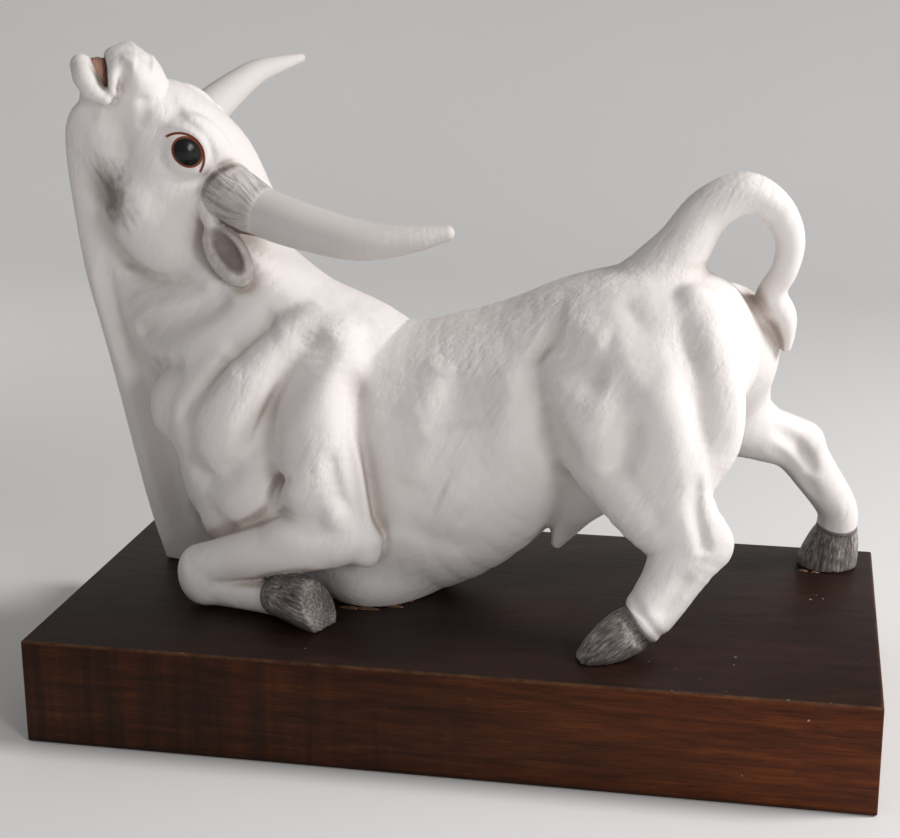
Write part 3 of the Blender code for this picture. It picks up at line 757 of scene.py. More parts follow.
def head(clay):
    """The head, in its own frame: x towards the muzzle, y to its left, z out of the forehead."""

    def add(mass, blend=6.0):
        clay.add(mass.posed(*head_pose()), blend)

    def cut(mass, blend=3.0):
        clay.cut(mass.posed(*head_pose()), blend)

    add(limb([
        (-16, 0, -12, 33, 35),
        (14, 0, -15, 37, 40),
        (40, 0, -18, 34, 35),
        (58, 0, -20, 29, 26),
        (72, 0, -22, 24, 20),
        (90, 0, -22, 22, 20),
        (97, 0, -24, 18, 15),
    ]), 8)
    add(limb([
        (-4, 0, -48, 33, 26),
        (22, 0, -52, 30, 24),
        (52, 0, -54, 19, 18),
        (80, 0, -50, 14, 10),
        (98, 0, -47, 12, 7),
    ]), 6)
    for side in (1, -1):
        add(ball((6, side * 20, -45), (36, 15, 29), (1, 0, -0.1)), 16)
        add(ball((-6, side * 23, -43), (21, 14, 25), (1, 0, 0.3)), 10)
        add(ball((38, side * 26, -4), (25, 11, 19)), 5)
        add(ball((94, side * 12, -17), (14, 12, 11)), 4)
    cut(mouth_gap(), 2)
    add(tongue(), 1.5)
    for side in (1, -1):
        add(limb([
            (106, 0, -24, 5, 5),
            (103, side * 10, -25, 5, 5),
            (101, side * 17, -28, 4.5, 4.5),
            (95, side * 20, -32, 3.5, 3.5),
        ], side=(0, 0, 1), pieces=3), 3)
        add(limb([
            (110, 0, -44, 6.5, 7.5),
            (107, side * 9, -45, 7, 7.5),
            (100, side * 15, -44, 7, 7),
            (93, side * 19, -39, 4.5, 5),
        ], side=(0, 0, 1), pieces=3), 3)
        clay.marks([
            (9, -4, (56, -50), (46, -60), (36, -68), (24, -75)),
            (6, -6, (-8, -84), (-20, -78), (-26, -69), (-29, -59), (-31, -48), (-33, -36)),
            (4, -2, (108, -16), (102, -20), (97, -26), (92, -33)),
            (6, -3, (84, -46), (91, -53), (100, -57), (108, -57)),
            (4, -1.5, (104, -13), (100, -9), (94, -5)),
            (4, -1.5, (86, -16), (76, -22), (66, -30)),
            (4, 1.5, (80, 0), (64, 2), (50, 5), (34, 6)),
            (9, -1.6, (66, -12), (62, -22), (50, -27), (36, -24), (26, -14)),
        ], side, 4.0, pose=head_pose())
        clay.marks([
            (2.6, 1.4, (28, -9), (34, -3), (42, 1), (50, 1), (58, -3), (62, -10), (62, -18)),
            (2.6, -1.3, (26, -5), (34, 2), (44, 5), (54, 3), (62, -3)),
            (2.6, 1.2, (53, -18), (48, -21), (42, -21), (38, -19), (34, -15), (33, -10), (35, -5)),
            (2.6, -1.2, (55, -23), (46, -27), (37, -26), (30, -21), (27, -13), (28, -4)),
        ], side, 4.0, pose=head_pose())
        add(ball((44, side * 29, -10), (13, 9, 10.5), (1, 0, -0.45)), 4)
        add(ball((44, side * 29.5, -10), (10.5, 10, 8.5), (1, 0, -0.45)), 1.5)


def mouth_gap():
    return ball((108, 0, -33), (23, 22, 4.5))


def tongue():
    return limb([(84, 0, -37, 13, 5), (97, 0, -35.5, 12, 5), (107, 0, -35, 9, 4)])


def horn(points, radii):
    curve = smooth_rows(points, 3)
    sizes = smooth_rows(np.asarray(radii, float)[:, None], 3)[:, 0]
    stations = [(*p, r, r) for p, r in zip(curve, sizes)]
    return limb(stations, side=(1, 0, 0), pieces=2)


def near_horn():
    return horn(
        [(8, 22, 0), (5, 42, 4), (-3, 56, 15), (-14, 74, 33),
         (-30, 95, 62), (-39, 105, 90), (-44, 110, 112)],
        (17, 17, 15.5, 14.6, 12.6, 9, 5),
    )


def far_horn():
    return horn(
        [(24, -20, -4), (32, -38, 5), (31, -52, 14), (27, -74, 31),
         (22, -92, 44), (12, -113, 58), (1, -133, 74.5)],
        (13, 12.8, 12.2, 10, 8.4, 6.4, 3.4),
    )


def collar():
    return limb([
        (9, 24, -1, 16, 15),
        (7, 36, 2, 18.5, 18),
        (4, 44, 6, 18.5, 18),
        (0, 50, 10, 17, 17),
    ], side=(1, 0, 0), pieces=3)


def horns(clay):
    """The horns. The near one comes out of a thick collar of hair."""
    for mass, blend in ((collar(), 4), (near_horn(), 2), (far_horn(), 2)):
        clay.add(mass.posed(*head_pose()), blend)


def ear(side):
    """A leaf-shaped ear, hung below the horn, and the hollow in front of it."""
    along = unit((-37, side * 25, 6))
    outward = unit((0.58, side * 0.75, -0.32))
    across = np.cross(along, outward)
    middle = np.array([-18, side * 59, -16])
    hollow = middle + 7.5 * outward - side * 3.5 * across
    return ball(middle, (22.5, 6.5, 13.5), along, across), ball(hollow, (16.5, 6.5, 6.5), along, across)


def ears(clay):
    for side in (1, -1):
        root = limb([(8, side * 36, -14, 8, 8), (-2, side * 46, -15, 7, 7)])
        clay.add(root.posed(*head_pose()), 3)
        leaf, hollow = ear(side)
        clay.add(leaf.carved(hollow).posed(*head_pose()), 2)


def bull_clay():
    clay = Clay()
    body(clay)
    belly_fold(clay)
    for side in (-1, 1):
        shoulder(clay, side)
    for side, strength in ((-1, 1.0), (1, 0.8)):
        clay.marks(dewlap_folds(), side, 30.0, strength)
        clay.marks(shoulder_folds(), side, strength=strength)
        clay.marks(rib_folds(), side, strength=0.8 * strength)
    left_hind(clay)
    right_hind(clay)
    buttocks(clay)
    clay.marks(haunch_folds(), -1, strength=0.85)
    clay.marks(far_leg_folds())
    sheath(clay)
    tail(clay)
    head(clay)
    for side in (-1, 1):
        foreleg(clay, side)
    horns(clay)
    ears(clay)
    return clay


def sampled(field, low, high, step):
    """The field on a regular grid. Only the cells near the skin are worked out finely."""
    counts = np.ceil((high - low) / (step * COARSE)).astype(int)
    ticks = [low[i] + step * COARSE * (np.arange(counts[i]) + 0.5 - 0.5 / COARSE) for i in range(3)]
    grid = np.stack(np.meshgrid(*ticks, indexing="ij"), -1).reshape(-1, 3)
    rough = field(grid).reshape(counts)
    near = np.abs(rough) < step * COARSE * 1.25
    whole = np.repeat(np.repeat(np.repeat(np.sign(rough) * FAR, COARSE, 0), COARSE, 1), COARSE, 2)
    blocks = np.argwhere(near) * COARSE
    inner = np.stack(np.meshgrid(*[np.arange(COARSE)] * 3, indexing="ij"), -1).reshape(-1, 3)
    index = (blocks[:, None] + inner[None]).reshape(-1, 3)
    whole[tuple(index.T)] = field(low + step * index)
    return whole


def settled(inside):
    """The same clay without corner-to-corner touches, where a skin would meet itself along an edge."""
    inside = inside.copy()
    changed = True
    while changed:
        changed = False
        for one, two in ((0, 1), (0, 2), (1, 2)):
            quad = []
            for a in (0, 1):
                for b in (0, 1):
                    view = [slice(None)] * 3
                    view[one] = slice(a, a - 1 or None)
                    view[two] = slice(b, b - 1 or None)
                    quad.append(inside[tuple(view)])
            for i, j, k, m in ((0, 3, 1, 2), (1, 2, 0, 3)):
                touching = quad[i] & quad[j] & ~quad[k] & ~quad[m]
                if touching.any():
                    quad[k][touching] = True
                    changed = True
        cell = {
            (a, b, c): inside[a:a - 1 or None, b:b - 1 or None, c:c - 1 or None]
            for a in (0, 1) for b in (0, 1) for c in (0, 1)}
        count = sum(part.astype(np.int8) for part in cell.values())
        for a, b, c in ((0, 0, 0), (0, 0, 1), (0, 1, 0), (1, 0, 0)):
            here, opposite = cell[a, b, c], cell[1 - a, 1 - b, 1 - c]
            touching = (count == 2) & here & opposite
            touching |= (count == 6) & ~here & ~opposite
            if touching.any():
                cell[a, b, 1 - c][touching] = True
                here[touching] = True
                changed = True
    return inside


def skin(values, low, step):
    """A closed skin over the grid's zero level: a point in each crossed cell, a face on each crossed edge."""
    inside = settled(values < 0)
    values = np.where(inside & (values >= 0), -0.02 * step, values)
    size = np.array(values.shape) - 1
    corners = [(i, j, k) for i in (0, 1) for j in (0, 1) for k in (0, 1)]

    def at(array, corner):
        return array[tuple(slice(c, c + n) for c, n in zip(corner, size))]

    count = sum(at(inside, c).astype(np.int8) for c in corners)
    crossed = (count > 0) & (count < 8)
    number = np.full(crossed.shape, -1)
    number[crossed] = np.arange(crossed.sum())
    cells = np.argwhere(crossed)
    total = np.zeros((len(cells), 3))
    hits = np.zeros(len(cells))
    for a in corners:
        for axis in range(3):
            if a[axis]:
                continue
            b = tuple(c + (i == axis) for i, c in enumerate(a))
            va, vb = at(values, a)[crossed], at(values, b)[crossed]
            cut = (va < 0) != (vb < 0)
            share = np.where(cut, va / np.where(cut, va - vb, 1), 0)
            spot = np.array(a) + share[:, None] * (np.array(b) - np.array(a))
            total += spot * cut[:, None]
            hits += cut
    points = low + step * (cells + total / hits[:, None])
    faces = []
    for axis in range(3):
        one, two = (axis + 1) % 3, (axis + 2) % 3
        here = [slice(1, -1)] * 3
        here[axis] = slice(0, -1)
        there = list(here)
        there[axis] = slice(1, None)
        start, end = inside[tuple(here)], inside[tuple(there)]
        at_edge = np.argwhere(start != end)
        outward = start[start != end]
        at_edge += np.array([0 if i == axis else 1 for i in range(3)])
        ring = []
        for back_one, back_two in ((1, 1), (0, 1), (0, 0), (1, 0)):
            cell = at_edge.copy()
            cell[:, one] -= back_one
            cell[:, two] -= back_two
            ring.append(number[tuple(cell.T)])
        ring = np.stack(ring, 1)
        faces.append(np.where(outward[:, None], ring, ring[:, ::-1]))
    return points, np.vstack(faces)


def bull_surface():
    """The fine skin: its points in drawn millimetres, its faces, and the field they were drawn from."""
    clay = bull_clay()
    low, high = np.array(CLAY_LOW), np.array(CLAY_HIGH)

    def field(p):
        return np.maximum(clay.field(p), -p[:, 2])

    points, faces = skin(sampled(field, low, high, SKIN_STEP), low, SKIN_STEP)
    return points, faces, field


def slopes(field, p, reach=0.7):
    """The field's unit gradient at each point."""
    parts = []
    for axis in range(3):
        step = np.zeros(3)
        step[axis] = reach
        parts.append((field(p + step) - field(p - step)) / (2 * reach))
    found = np.stack(parts, 1)
    return found / np.maximum(np.linalg.norm(found, axis=1), 1e-6)[:, None]


drawn, faces, clay_field = bull_surface()
drawn_size = BULL_LENGTH / np.ptp(drawn[:, 0])
drawn_foot = drawn[:, 2].min()
mesh = bpy.data.meshes.new("bull_casting")
mesh.from_pydata(drawn.tolist(), [], faces.tolist())
mesh.update()
bull = bpy.data.objects.new("bull_casting", mesh)
bpy.context.collection.objects.link(bull)
bpy.ops.object.select_all(action="DESELECT")
bpy.context.view_layer.objects.active = bull
bull.select_set(True)
fewer = bull.modifiers.new("fewer", "DECIMATE")
fewer.ratio = min(1.0, FINE_TRIANGLES / (2 * len(faces)))
bpy.ops.object.modifier_apply(modifier=fewer.name)
mesh = bull.data

flat = np.empty(len(mesh.vertices) * 3)
mesh.vertices.foreach_get("co", flat)
drawn = flat.reshape(-1, 3)
outward = slopes(clay_field, drawn)
away = np.clip(clay_field(drawn), -1.0, 1.0)
drawn = drawn - outward * away[:, None]

# The middle of each hoof, in drawn millimetres, and the way its horn grows.
HOOF_WAYS = (
    ((-84, -72, 12), (0.93, -0.22, -0.3)), ((-84, 97, 12), (0.93, 0.22, -0.3)),
    ((98, -81, 8), (-0.8, -0.2, -0.55)), ((226, 96, 12), (-0.15, 0.1, -1)),
)
HOOF_REACH = 45

# In the head's own frame: the middle of the painted eye, the way it faces and the way across it, the
# middle of the shade under the jaw and how far it reaches, and the hair at a horn's root.
EYE_PLACE = (44, 31, -10)
EYE_FACING = (0.382, 0.918, 0.102)
EYE_ACROSS = (-0.379, 0.216, 0.9)
JAW_HOLLOW = (34, 20, -66)
JAW_REACH = (26, 18, 16)
HAIR_MIDDLE = (5, 40, 4)
HAIR_ALONG = (-7, 26, 11)
HAIR_RADIUS = 17


def hollowness(p, normals, reach):
    """How far the skin folds in on itself at each point: 0 on a bulge, 1 in a deep crease."""
    return np.clip(1.0 - clay_field(p + normals * reach) / reach, 0.0, 1.0)


def head_place(p):
    """The points in the head's own frame."""
    axes, origin, size = head_pose()
    return (p - origin) @ axes / size


def nearest(masses, p):
    return np.minimum.reduce([mass.distance(p) for mass in masses])


def hoof_grain(p):
    """Places on the hooves with the first number along the hoof, from the coronet to the toe."""
    found = np.zeros_like(p)
    for middle, along in HOOF_WAYS:
        near = np.linalg.norm(p - middle, axis=1) < HOOF_REACH
        along = unit(along)
        across = unit(np.cross(along, (0, 0.9, 0.4)))
        found[near] = (p[near] - middle) @ np.column_stack([along, across, np.cross(along, across)])
    return found


def mirrored(q):
    """Head places with those of its right side brought over to its left."""
    return np.stack([q[:, 0], np.abs(q[:, 1]), q[:, 2]], 1)


def eye_plane(q):
    """Places on the painted eye: across, up and out of it, with the other eye as its mirror image."""
    q = mirrored(q)
    out = unit(EYE_FACING)
    across = unit(np.array(EYE_ACROSS) - out * (out @ EYE_ACROSS))
    return (q - EYE_PLACE) @ np.column_stack([across, np.cross(out, across), out])


def store(name, values):
    """Keep a number or a place for each point of the mesh, for the finish to read."""
    single = np.ndim(values) == 1
    layer = mesh.attributes.new(name, "FLOAT" if single else "FLOAT_VECTOR", "POINT")
    layer.data.foreach_set("value" if single else "vector", np.ascontiguousarray(values, float).ravel())


def strands(q):
    """Places in the hair round a horn: along it, and round it."""
    along = unit(HAIR_ALONG)
    side = unit(np.cross(along, (1, 0, 0)))
    q = q - HAIR_MIDDLE
    round_it = np.arctan2(q @ np.cross(along, side), q @ side)
    return np.stack([q @ along, HAIR_RADIUS * np.cos(round_it), HAIR_RADIUS * np.sin(round_it)], 1)


def nearest_horn(q):
    """Distance to the nearer horn, for the points past the hair at its root."""
    near, far = (shape.distance(q) for shape in (near_horn(), far_horn()))
    return np.where(q[:, 1] > 0, np.maximum(near, 52 - q[:, 1]), np.maximum(far, 34 + q[:, 1]))


local = head_place(drawn)
store("crease", 0.55 * hollowness(drawn, outward, 4.0) + 0.65 * hollowness(drawn, outward, 12.0))
store("hoof", nearest([fore_hoof(1), fore_hoof(-1), left_hoof(), right_hoof()], drawn))
store("hoof_grain", hoof_grain(drawn))
store("eye", eye_plane(local))
store("collar", collar().distance(local))
store("strand", strands(mirrored(local)))
store("horn", nearest_horn(local))
store("jaw", (mirrored(local) - JAW_HOLLOW) / JAW_REACH)
store("mouth", mouth_gap().distance(local))
store("tongue", tongue().distance(local))
store("ear", nearest([ear(side)[0] for side in (1, -1)], local))
store("ear_hollow", nearest([ear(side)[1] for side in (1, -1)], local))
store("head", local)
placed = drawn * drawn_size
placed[:, 2] += BULL_FOOT - drawn_foot * drawn_size
placed = np.clip(placed * MM, bull_low, bull_high)
mesh.vertices.foreach_set("co", placed.ravel())
mesh.shade_smooth()
mesh.update()
mesh.normals_split_custom_set_from_vertices(outward.tolist())


# The painted eye, in millimetres on its own plane: the oval's middle, half-lengths and tilt, and the
# bow of the lid line, which is open towards the nose and the cheek.
EYE_CENTRE = (0.3, -0.5, 0.0)
EYE_RADII = (10.3, 8.9)
EYE_TILT = math.radians(45)
LID_CENTRE = (-4.6, -4.1, 0.0)
LID_RADIUS = 15.0
LID_MIDDLE = (math.cos(math.radians(43)), math.sin(math.radians(43)), 0.0)

# How far the tool's dents lean as they run down the flanks.
DENT_SLOPE = math.radians(-28)


def arrow_sum(tree, operation, first, second=(0.0, 0.0, 0.0), output="Vector"):
    """The result of one sum on places or directions."""
    made = add_node(tree, "ShaderNodeVectorMath", {0: first, 1: second}, operation=operation)
    return made.outputs[output]


def eye_masks(tree, place):
    """How far each spot is the red-brown rim, the black of the eye, and the lid line."""
    shown = maths(tree, "GREATER_THAN", along_axes(tree, place)["Z"], -14.0)
    turned = add_node(tree, "ShaderNodeVectorRotate", {
        "Vector": place, "Center": EYE_CENTRE, "Angle": EYE_TILT}, rotation_type="Z_AXIS").outputs[0]
    oval = arrow_sum(tree, "SUBTRACT", turned, EYE_CENTRE)
    oval = arrow_sum(tree, "MULTIPLY", oval, (1 / EYE_RADII[0], 1 / EYE_RADII[1], 0.0))
    ratio = arrow_sum(tree, "LENGTH", oval, output="Value")
    rim = product(tree, between(tree, ratio, 1.03, 0.98), shown)
    black = product(tree, between(tree, ratio, 0.90, 0.84), shown)
    bow = arrow_sum(tree, "SUBTRACT", place, LID_CENTRE)
    bow = arrow_sum(tree, "MULTIPLY", bow, (1.0, 1.0, 0.0))
    from_middle = arrow_sum(tree, "LENGTH", bow, output="Value")
    off_line = maths(tree, "ABSOLUTE", maths(tree, "SUBTRACT", from_middle, LID_RADIUS))
    spread = arrow_sum(tree, "DOT_PRODUCT", bow, LID_MIDDLE, "Value")
    ends = between(tree, spread, LID_RADIUS * 0.17, LID_RADIUS * 0.24)
    return rim, black, product(tree, between(tree, off_line, 1.0, 0.6), ends, shown)


def bisque():
    made, tree, shader = new_material("toned_bisque")
    place = add_node(tree, "ShaderNodeTexCoord").outputs["Object"]

    def amount(name):
        return add_node(tree, "ShaderNodeAttribute", attribute_name=name).outputs["Fac"]

    def where(name):
        return add_node(tree, "ShaderNodeAttribute", attribute_name=name).outputs["Vector"]

    # Fine and broad mottling of the fired clay, and the grey-beige colour in the folds, darker the deeper the
    # crease: partly the real wash, partly painted shade.
    broad = pattern(tree, place, 28.0, 4.0, 0.55)
    fine = pattern(tree, place, 420.0, 3.0, 0.6)
    colour = mix(tree, broad, (0.83, 0.775, 0.75), (0.86, 0.825, 0.81))
    folds = between(tree, amount("crease"), 0.12, 0.85)
    colour = laid_on(
        tree, colour, (0.40, 0.315, 0.265), folds, 0.78, ramp(tree, fine, (0.2, 0.7), (0.7, 1.0)))
    # The horns are toned grey all over. The hollow of each jaw is darkened brown-grey as painted shade, with
    # a ragged edge.
    on_horn = between(tree, amount("horn"), 2.0, 0.5)
    colour = laid_on(tree, colour, (0.57, 0.535, 0.51), on_horn, 0.6)
    jaw_shade_edge_noise = pattern(tree, stretched(tree, (0.2, 1.0, 1.0), where("head")), 0.25, 3.0, 0.6)
    ragged = product(tree, maths(tree, "SUBTRACT", jaw_shade_edge_noise, 0.5), 1.2)
    jaw_painted_shade = maths(tree, "ADD", arrow_sum(tree, "LENGTH", where("jaw"), output="Value"), ragged)
    colour = laid_on(tree, colour, (0.21, 0.172, 0.15), between(tree, jaw_painted_shade, 1.3, 0.1), 0.9)
    # Hooves, with the dry-brushed streaks of the paint, and a dark line round the top of each.
    hoof = amount("hoof")
    painted = between(tree, hoof, 0.9, 0.5)
    grown = stretched(tree, (0.16, 1.0, 1.0), where("hoof_grain"))
    smudges = product(tree, pattern(tree, place, 55.0, 3.0, 0.6), 0.4)
    streaks = product(tree, pattern(tree, grown, 0.75, 5.0, 0.62, 0.15), 0.6)
    streaks = maths(tree, "ADD", streaks, smudges)
    hoof_grey = ramp(tree, streaks, (0.34, (0.038, 0.033, 0.031)), (0.45, (0.125, 0.108, 0.10)),
                     (0.55, (0.27, 0.24, 0.225)), (0.66, (0.56, 0.52, 0.50)))
    colour = mix(tree, painted, colour, hoof_grey)
    rim_line = product(tree, between(tree, hoof, 0.2, 0.7), between(tree, hoof, 1.7, 1.1))
    colour = laid_on(tree, colour, (0.045, 0.035, 0.03), rim_line, 0.8)
    # The hair at the horns' roots and the ears are toned more heavily.
    near_hair = between(tree, amount("collar"), 2.0, 0.4)
    hair = pattern(tree, stretched(tree, (0.14, 1.0, 1.0), where("strand")), 0.27, 3.0, 0.6, 0.6)
    strand_shade = ramp(tree, hair, (0.34, 0.95), (0.60, 0.25))
    colour = laid_on(tree, colour, (0.36, 0.31, 0.28), near_hair, strand_shade)
    # A dark brown painted shadow lies in the crease where the hair at the horn's root meets the head.
    collar_painted_shadow = product(
        tree, between(tree, amount("collar"), 6.0, 1.0), between(tree, amount("crease"), 0.15, 0.6))
    colour = laid_on(tree, colour, (0.13, 0.085, 0.065), collar_painted_shadow, 0.85)
    near_ear = between(tree, amount("ear"), 1.5, 0.3)
    brushed_ear = ramp(tree, pattern(tree, where("head"), 0.16, 3.0, 0.6), (0.35, 0.35), (0.62, 0.75))
    colour = laid_on(tree, colour, (0.46, 0.40, 0.37), near_ear, brushed_ear)
    inner_ear = between(tree, amount("ear_hollow"), 3.0, -1.0)
    colour = laid_on(tree, colour, (0.11, 0.066, 0.045), inner_ear, 0.85)
    # The inside of the mouth, and the tongue.
    colour = laid_on(tree, colour, (0.13, 0.050, 0.030), between(tree, amount("mouth"), 0.3, -1.2))
    colour = laid_on(tree, colour, (0.56, 0.31, 0.22), between(tree, amount("tongue"), 0.9, 0.3))
    # The eye: a black oval in a red-brown rim, and a brushed lid line from corner to corner.
    rim, black, lid_line = eye_masks(tree, where("eye"))
    colour = laid_on(tree, colour, (0.22, 0.050, 0.018), maths(tree, "MAXIMUM", rim, lid_line))
    colour = laid_on(tree, colour, (0.006, 0.006, 0.007), black)
    # Matt clay, a low sheen on the hooves, and a glazed eye.
    dull = maths(tree, "SUBTRACT", spread_over(tree, fine, 0.58, 0.72), product(tree, painted, 0.22))
    glossy = product(tree, dull, rest_of(tree, product(tree, black, 0.62)))
    tree.links.new(glossy, shader.inputs["Roughness"])
    shader.inputs["Specular IOR Level"].default_value = 0.35
    # Tool marks: short soft dents that run down the flanks, the hair's strands, streaks on the hooves.
    sloped = add_node(tree, "ShaderNodeMapping", {
        "Vector": place, "Rotation": (0.0, DENT_SLOPE, 0.0)}).outputs[0]
    dents = pattern(tree, stretched(tree, (330.0, 330.0, 120.0), sloped), 1.0, 1.0, 0.4)
    dents = ramp(tree, dents, (0.18, 0.45), (0.42, 1.0))
    ripples = pattern(tree, stretched(tree, (150.0, 150.0, 42.0), sloped), 1.0, 2.0)
    patches = ramp(tree, pattern(tree, place, 22.0, 2.0), (0.40, 0.25), (0.60, 1.0))
    marks = maths(tree, "ADD", dents, product(tree, ripples, 2.8))
    height = product(tree, marks, patches, rest_of(tree, on_horn))
    for relief in (product(tree, fine, 0.35), product(tree, hair, near_hair, 5.0),
                   product(tree, streaks, painted, 1.2)):
        height = maths(tree, "ADD", height, relief)
    finished(tree, shader, colour, product(tree, height, rest_of(tree, rim)), 0.52, 0.0008)
    return made


mesh.materials.append(bisque())
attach(bull, "root")
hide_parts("bull")

# The glue: beads of clear amber resin that oozed out where the belly and a hind hoof are stuck to the
# plinth, and set there. They are drops, flat underneath and rounded above.

# Each bead's place along and across, its half-length, its half-width and its height.
BEADS = (
    (-0.0720, -0.0385, 0.0060, 0.0022, 0.0011),
    (-0.0605, -0.0380, 0.0085, 0.0021, 0.0010),
    (-0.0455, -0.0310, 0.0070, 0.0020, 0.0010),
    (-0.0385, -0.0190, 0.0045, 0.0022, 0.0010),
    (0.2090, 0.0808, 0.0036, 0.0018, 0.0011),
    (0.2165, 0.0796, 0.0030, 0.0015, 0.0010),
)
BEAD_LIFT = 0.00002
# The beads' uneven edges: how far they wander along and across, and how closely.
WANDER_ALONG, CLOSENESS_ALONG = 0.0009, 260.0
WANDER_ACROSS, CLOSENESS_ACROSS = 0.0007, 230.0


def amber_glue():
    made, tree, shader = new_material("amber_glue")
    place = add_node(tree, "ShaderNodeTexCoord").outputs["Object"]
    cloudy = pattern(tree, place, 300.0, 3.0, 0.6)
    colour = ramp(tree, cloudy, (0.30, (0.045, 0.018, 0.007)), (0.70, (0.20, 0.085, 0.028)))
    shader.inputs["Roughness"].default_value = 0.18
    shader.inputs["Coat Weight"].default_value = 0.4
    finished(tree, shader, colour, cloudy, 0.3, 0.0003)
    return made


glue_finish = amber_glue()
for number, (x, y, length, width, height) in enumerate(BEADS, 1):
    bpy.ops.object.select_all(action="DESELECT")
    bpy.ops.mesh.primitive_uv_sphere_add(segments=24, ring_count=12, radius=1.0)
    bead = bpy.context.object
    bead.name = f"glue_bead_{number}"
    bpy.ops.object.mode_set(mode="EDIT")
    bpy.ops.mesh.select_all(action="SELECT")
    bpy.ops.transform.resize(value=(length, width, height))
    bpy.ops.transform.translate(value=(x, y, plinth_high.z))
    bpy.ops.mesh.bisect(
        plane_co=(x, y, plinth_high.z + BEAD_LIFT), plane_no=(0, 0, -1), clear_outer=True, use_fill=True)
    bpy.ops.object.mode_set(mode="OBJECT")
    for vertex in bead.data.vertices:
        vertex.co.x += WANDER_ALONG * soft_noise(vertex.co * CLOSENESS_ALONG)
        vertex.co.y += WANDER_ACROSS * soft_noise(vertex.co * CLOSENESS_ACROSS + Vector((3, 1, 2)))
    bpy.ops.object.shade_smooth_by_angle(angle=math.radians(50))
    bead.data.materials.append(glue_finish)
    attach(bead, "root")

# The stage: a pale table that turns up into a backdrop, coloured greyer as it rises and lighter to the
# left as painted light fall-off. A soft light stands to the right and a little behind, a weaker one to
# the front right, and a faint one lights the backdrop. The camera is at the photograph's own place.

CAMERA_TURN = math.radians(11.36)
CAMERA_TILT = math.radians(15.86)
CAMERA_ROLL = math.radians(-0.28)
CAMERA_PLACE = Vector((0.1957, -1.0447, 0.4848))
FOCAL_PIXELS = 1765.0
PICTURE_WIDTH = 900.0
TABLE_LENGTH, TABLE_DEPTH = 9.0, 6.0
TABLE_DROP = 0.0005
BACKDROP_HEIGHT = 4.5
BACKDROP_BEND = 0.9


def pale_paper():
    """White paper for the table. Its colour turns greyer as it rises behind and lighter towards the left, as
    painted light fall-off.
    """
    made, tree, shader = new_material("pale_paper")
    place = add_node(tree, "ShaderNodeTexCoord").outputs["Object"]
    spot = along_axes(tree, place)
    paper = mix(tree, pattern(tree, place, 3.0, 2.0), (0.86, 0.85, 0.845), (0.90, 0.89, 0.885))
    # Painted light fall-off: greyer up the backdrop, lighter towards the left.
    grey = mix(tree, between(tree, spot["X"], -0.3, -1.2), (0.56, 0.555, 0.54), (0.72, 0.71, 0.705))
    colour = mix(tree, between(tree, spot["Z"], 0.1, 1.1), paper, grey)
    tree.links.new(colour, shader.inputs["Base Color"])
    shader.inputs["Roughness"].default_value = 0.85
    return made


def select_edges(obj, wanted):
    """Select, in object mode, the edges both of whose ends are wanted."""
    for edge in obj.data.edges:
        edge.select = all(wanted(obj.data.vertices[i].co) for i in edge.vertices)


bpy.ops.object.select_all(action="DESELECT")
bpy.ops.mesh.primitive_plane_add(size=1.0)
table = bpy.context.object
table.name = "table_and_backdrop"
bpy.ops.object.mode_set(mode="EDIT")
bpy.ops.transform.resize(value=(TABLE_LENGTH, TABLE_DEPTH, 1.0))
bpy.ops.transform.translate(value=(0, -0.8, -TABLE_DROP))
bpy.ops.mesh.select_all(action="DESELECT")
bpy.ops.object.mode_set(mode="OBJECT")
select_edges(table, lambda end: end.y > 0)
bpy.ops.object.mode_set(mode="EDIT")
bpy.ops.mesh.select_mode(type="EDGE")
bpy.ops.mesh.extrude_region_move(TRANSFORM_OT_translate={"value": (0, 0.0, BACKDROP_HEIGHT)})
bpy.ops.mesh.select_all(action="DESELECT")
bpy.ops.object.mode_set(mode="OBJECT")
select_edges(table, lambda end: end.y > 0 and end.z < 1)
bpy.ops.object.mode_set(mode="EDIT")
bpy.ops.mesh.bevel(offset=BACKDROP_BEND, segments=16, affect="EDGES")
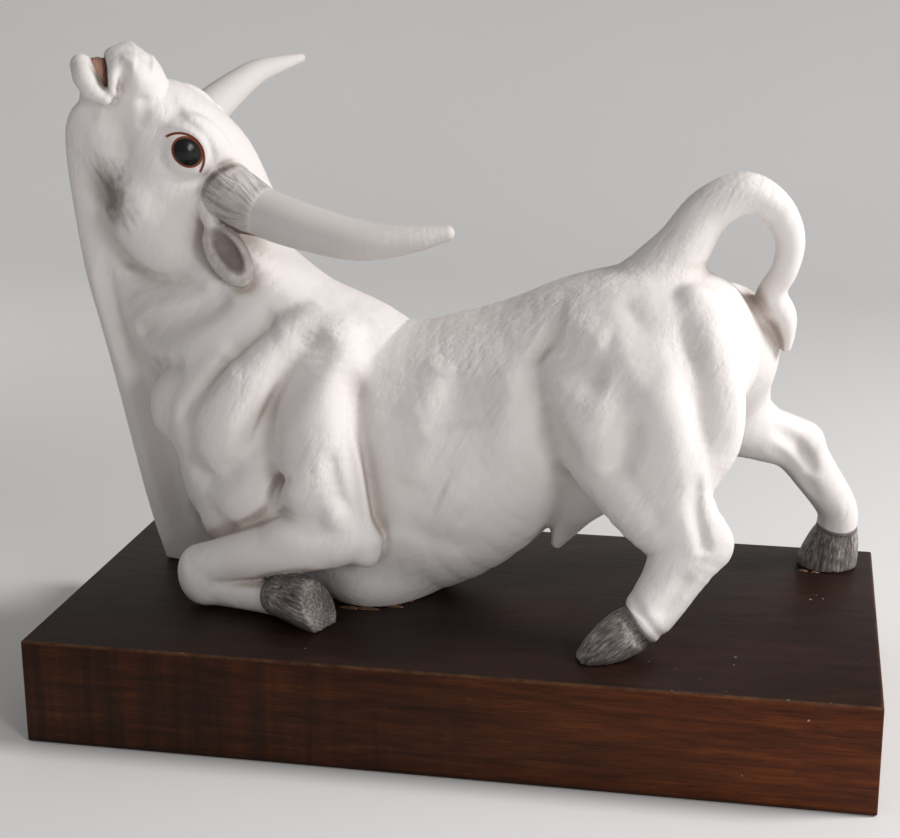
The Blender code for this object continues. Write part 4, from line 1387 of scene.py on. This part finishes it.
bpy.ops.object.mode_set(mode="OBJECT")
bpy.ops.object.shade_smooth()
table.data.materials.append(pale_paper())
table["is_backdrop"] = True


def soft_light(name, place, aim, size, power, colour=(1.0, 1.0, 1.0)):
    lamp = bpy.data.lights.new(name, "AREA")
    lamp.shape = "DISK"
    lamp.size = size
    lamp.energy = power
    lamp.color = colour
    holder = bpy.data.objects.new(name, lamp)
    bpy.context.collection.objects.link(holder)
    holder.location = place
    holder.rotation_euler = (Vector(aim) - Vector(place)).to_track_quat("-Z", "Y").to_euler()


soft_light("key_light", (1.52, 0.08, 1.27), (0.0, 0.0, 0.2), 0.5, 25.0, (1.0, 0.985, 0.975))
soft_light("front_light", (1.21, -1.34, 0.79), (0.0, 0.0, 0.2), 0.5, 8.5)
soft_light("backdrop_light", (-1.2, 0.6, 0.75), (-1.1, 1.9, 0.05), 0.8, 2.5)

world = bpy.data.worlds.new("studio")
bpy.context.scene.world = world
world.use_nodes = True
sky = world.node_tree.nodes["Background"].inputs
sky["Color"].default_value = (0.80, 0.795, 0.79, 1.0)
sky["Strength"].default_value = 0.34

back = Vector((
    math.sin(CAMERA_TURN) * math.cos(CAMERA_TILT),
    -math.cos(CAMERA_TURN) * math.cos(CAMERA_TILT),
    math.sin(CAMERA_TILT),
))
level = Vector((0, 0, 1)).cross(back).normalized()
upright = back.cross(level)
right = math.cos(CAMERA_ROLL) * level + math.sin(CAMERA_ROLL) * upright
top = math.cos(CAMERA_ROLL) * upright - math.sin(CAMERA_ROLL) * level
camera = bpy.data.objects.new("camera", bpy.data.cameras.new("camera"))
bpy.context.collection.objects.link(camera)
camera.data.lens = camera.data.sensor_width * FOCAL_PIXELS / PICTURE_WIDTH
camera.matrix_world = Matrix.Translation(CAMERA_PLACE) @ Matrix((right, top, back)).transposed().to_4x4()
bpy.context.scene.camera = camera
bpy.context.scene.view_settings.view_transform = "Standard"

visual_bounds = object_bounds()
both = [[list(map(float, corner)) for corner in box] for box in (cad_bounds, visual_bounds)]
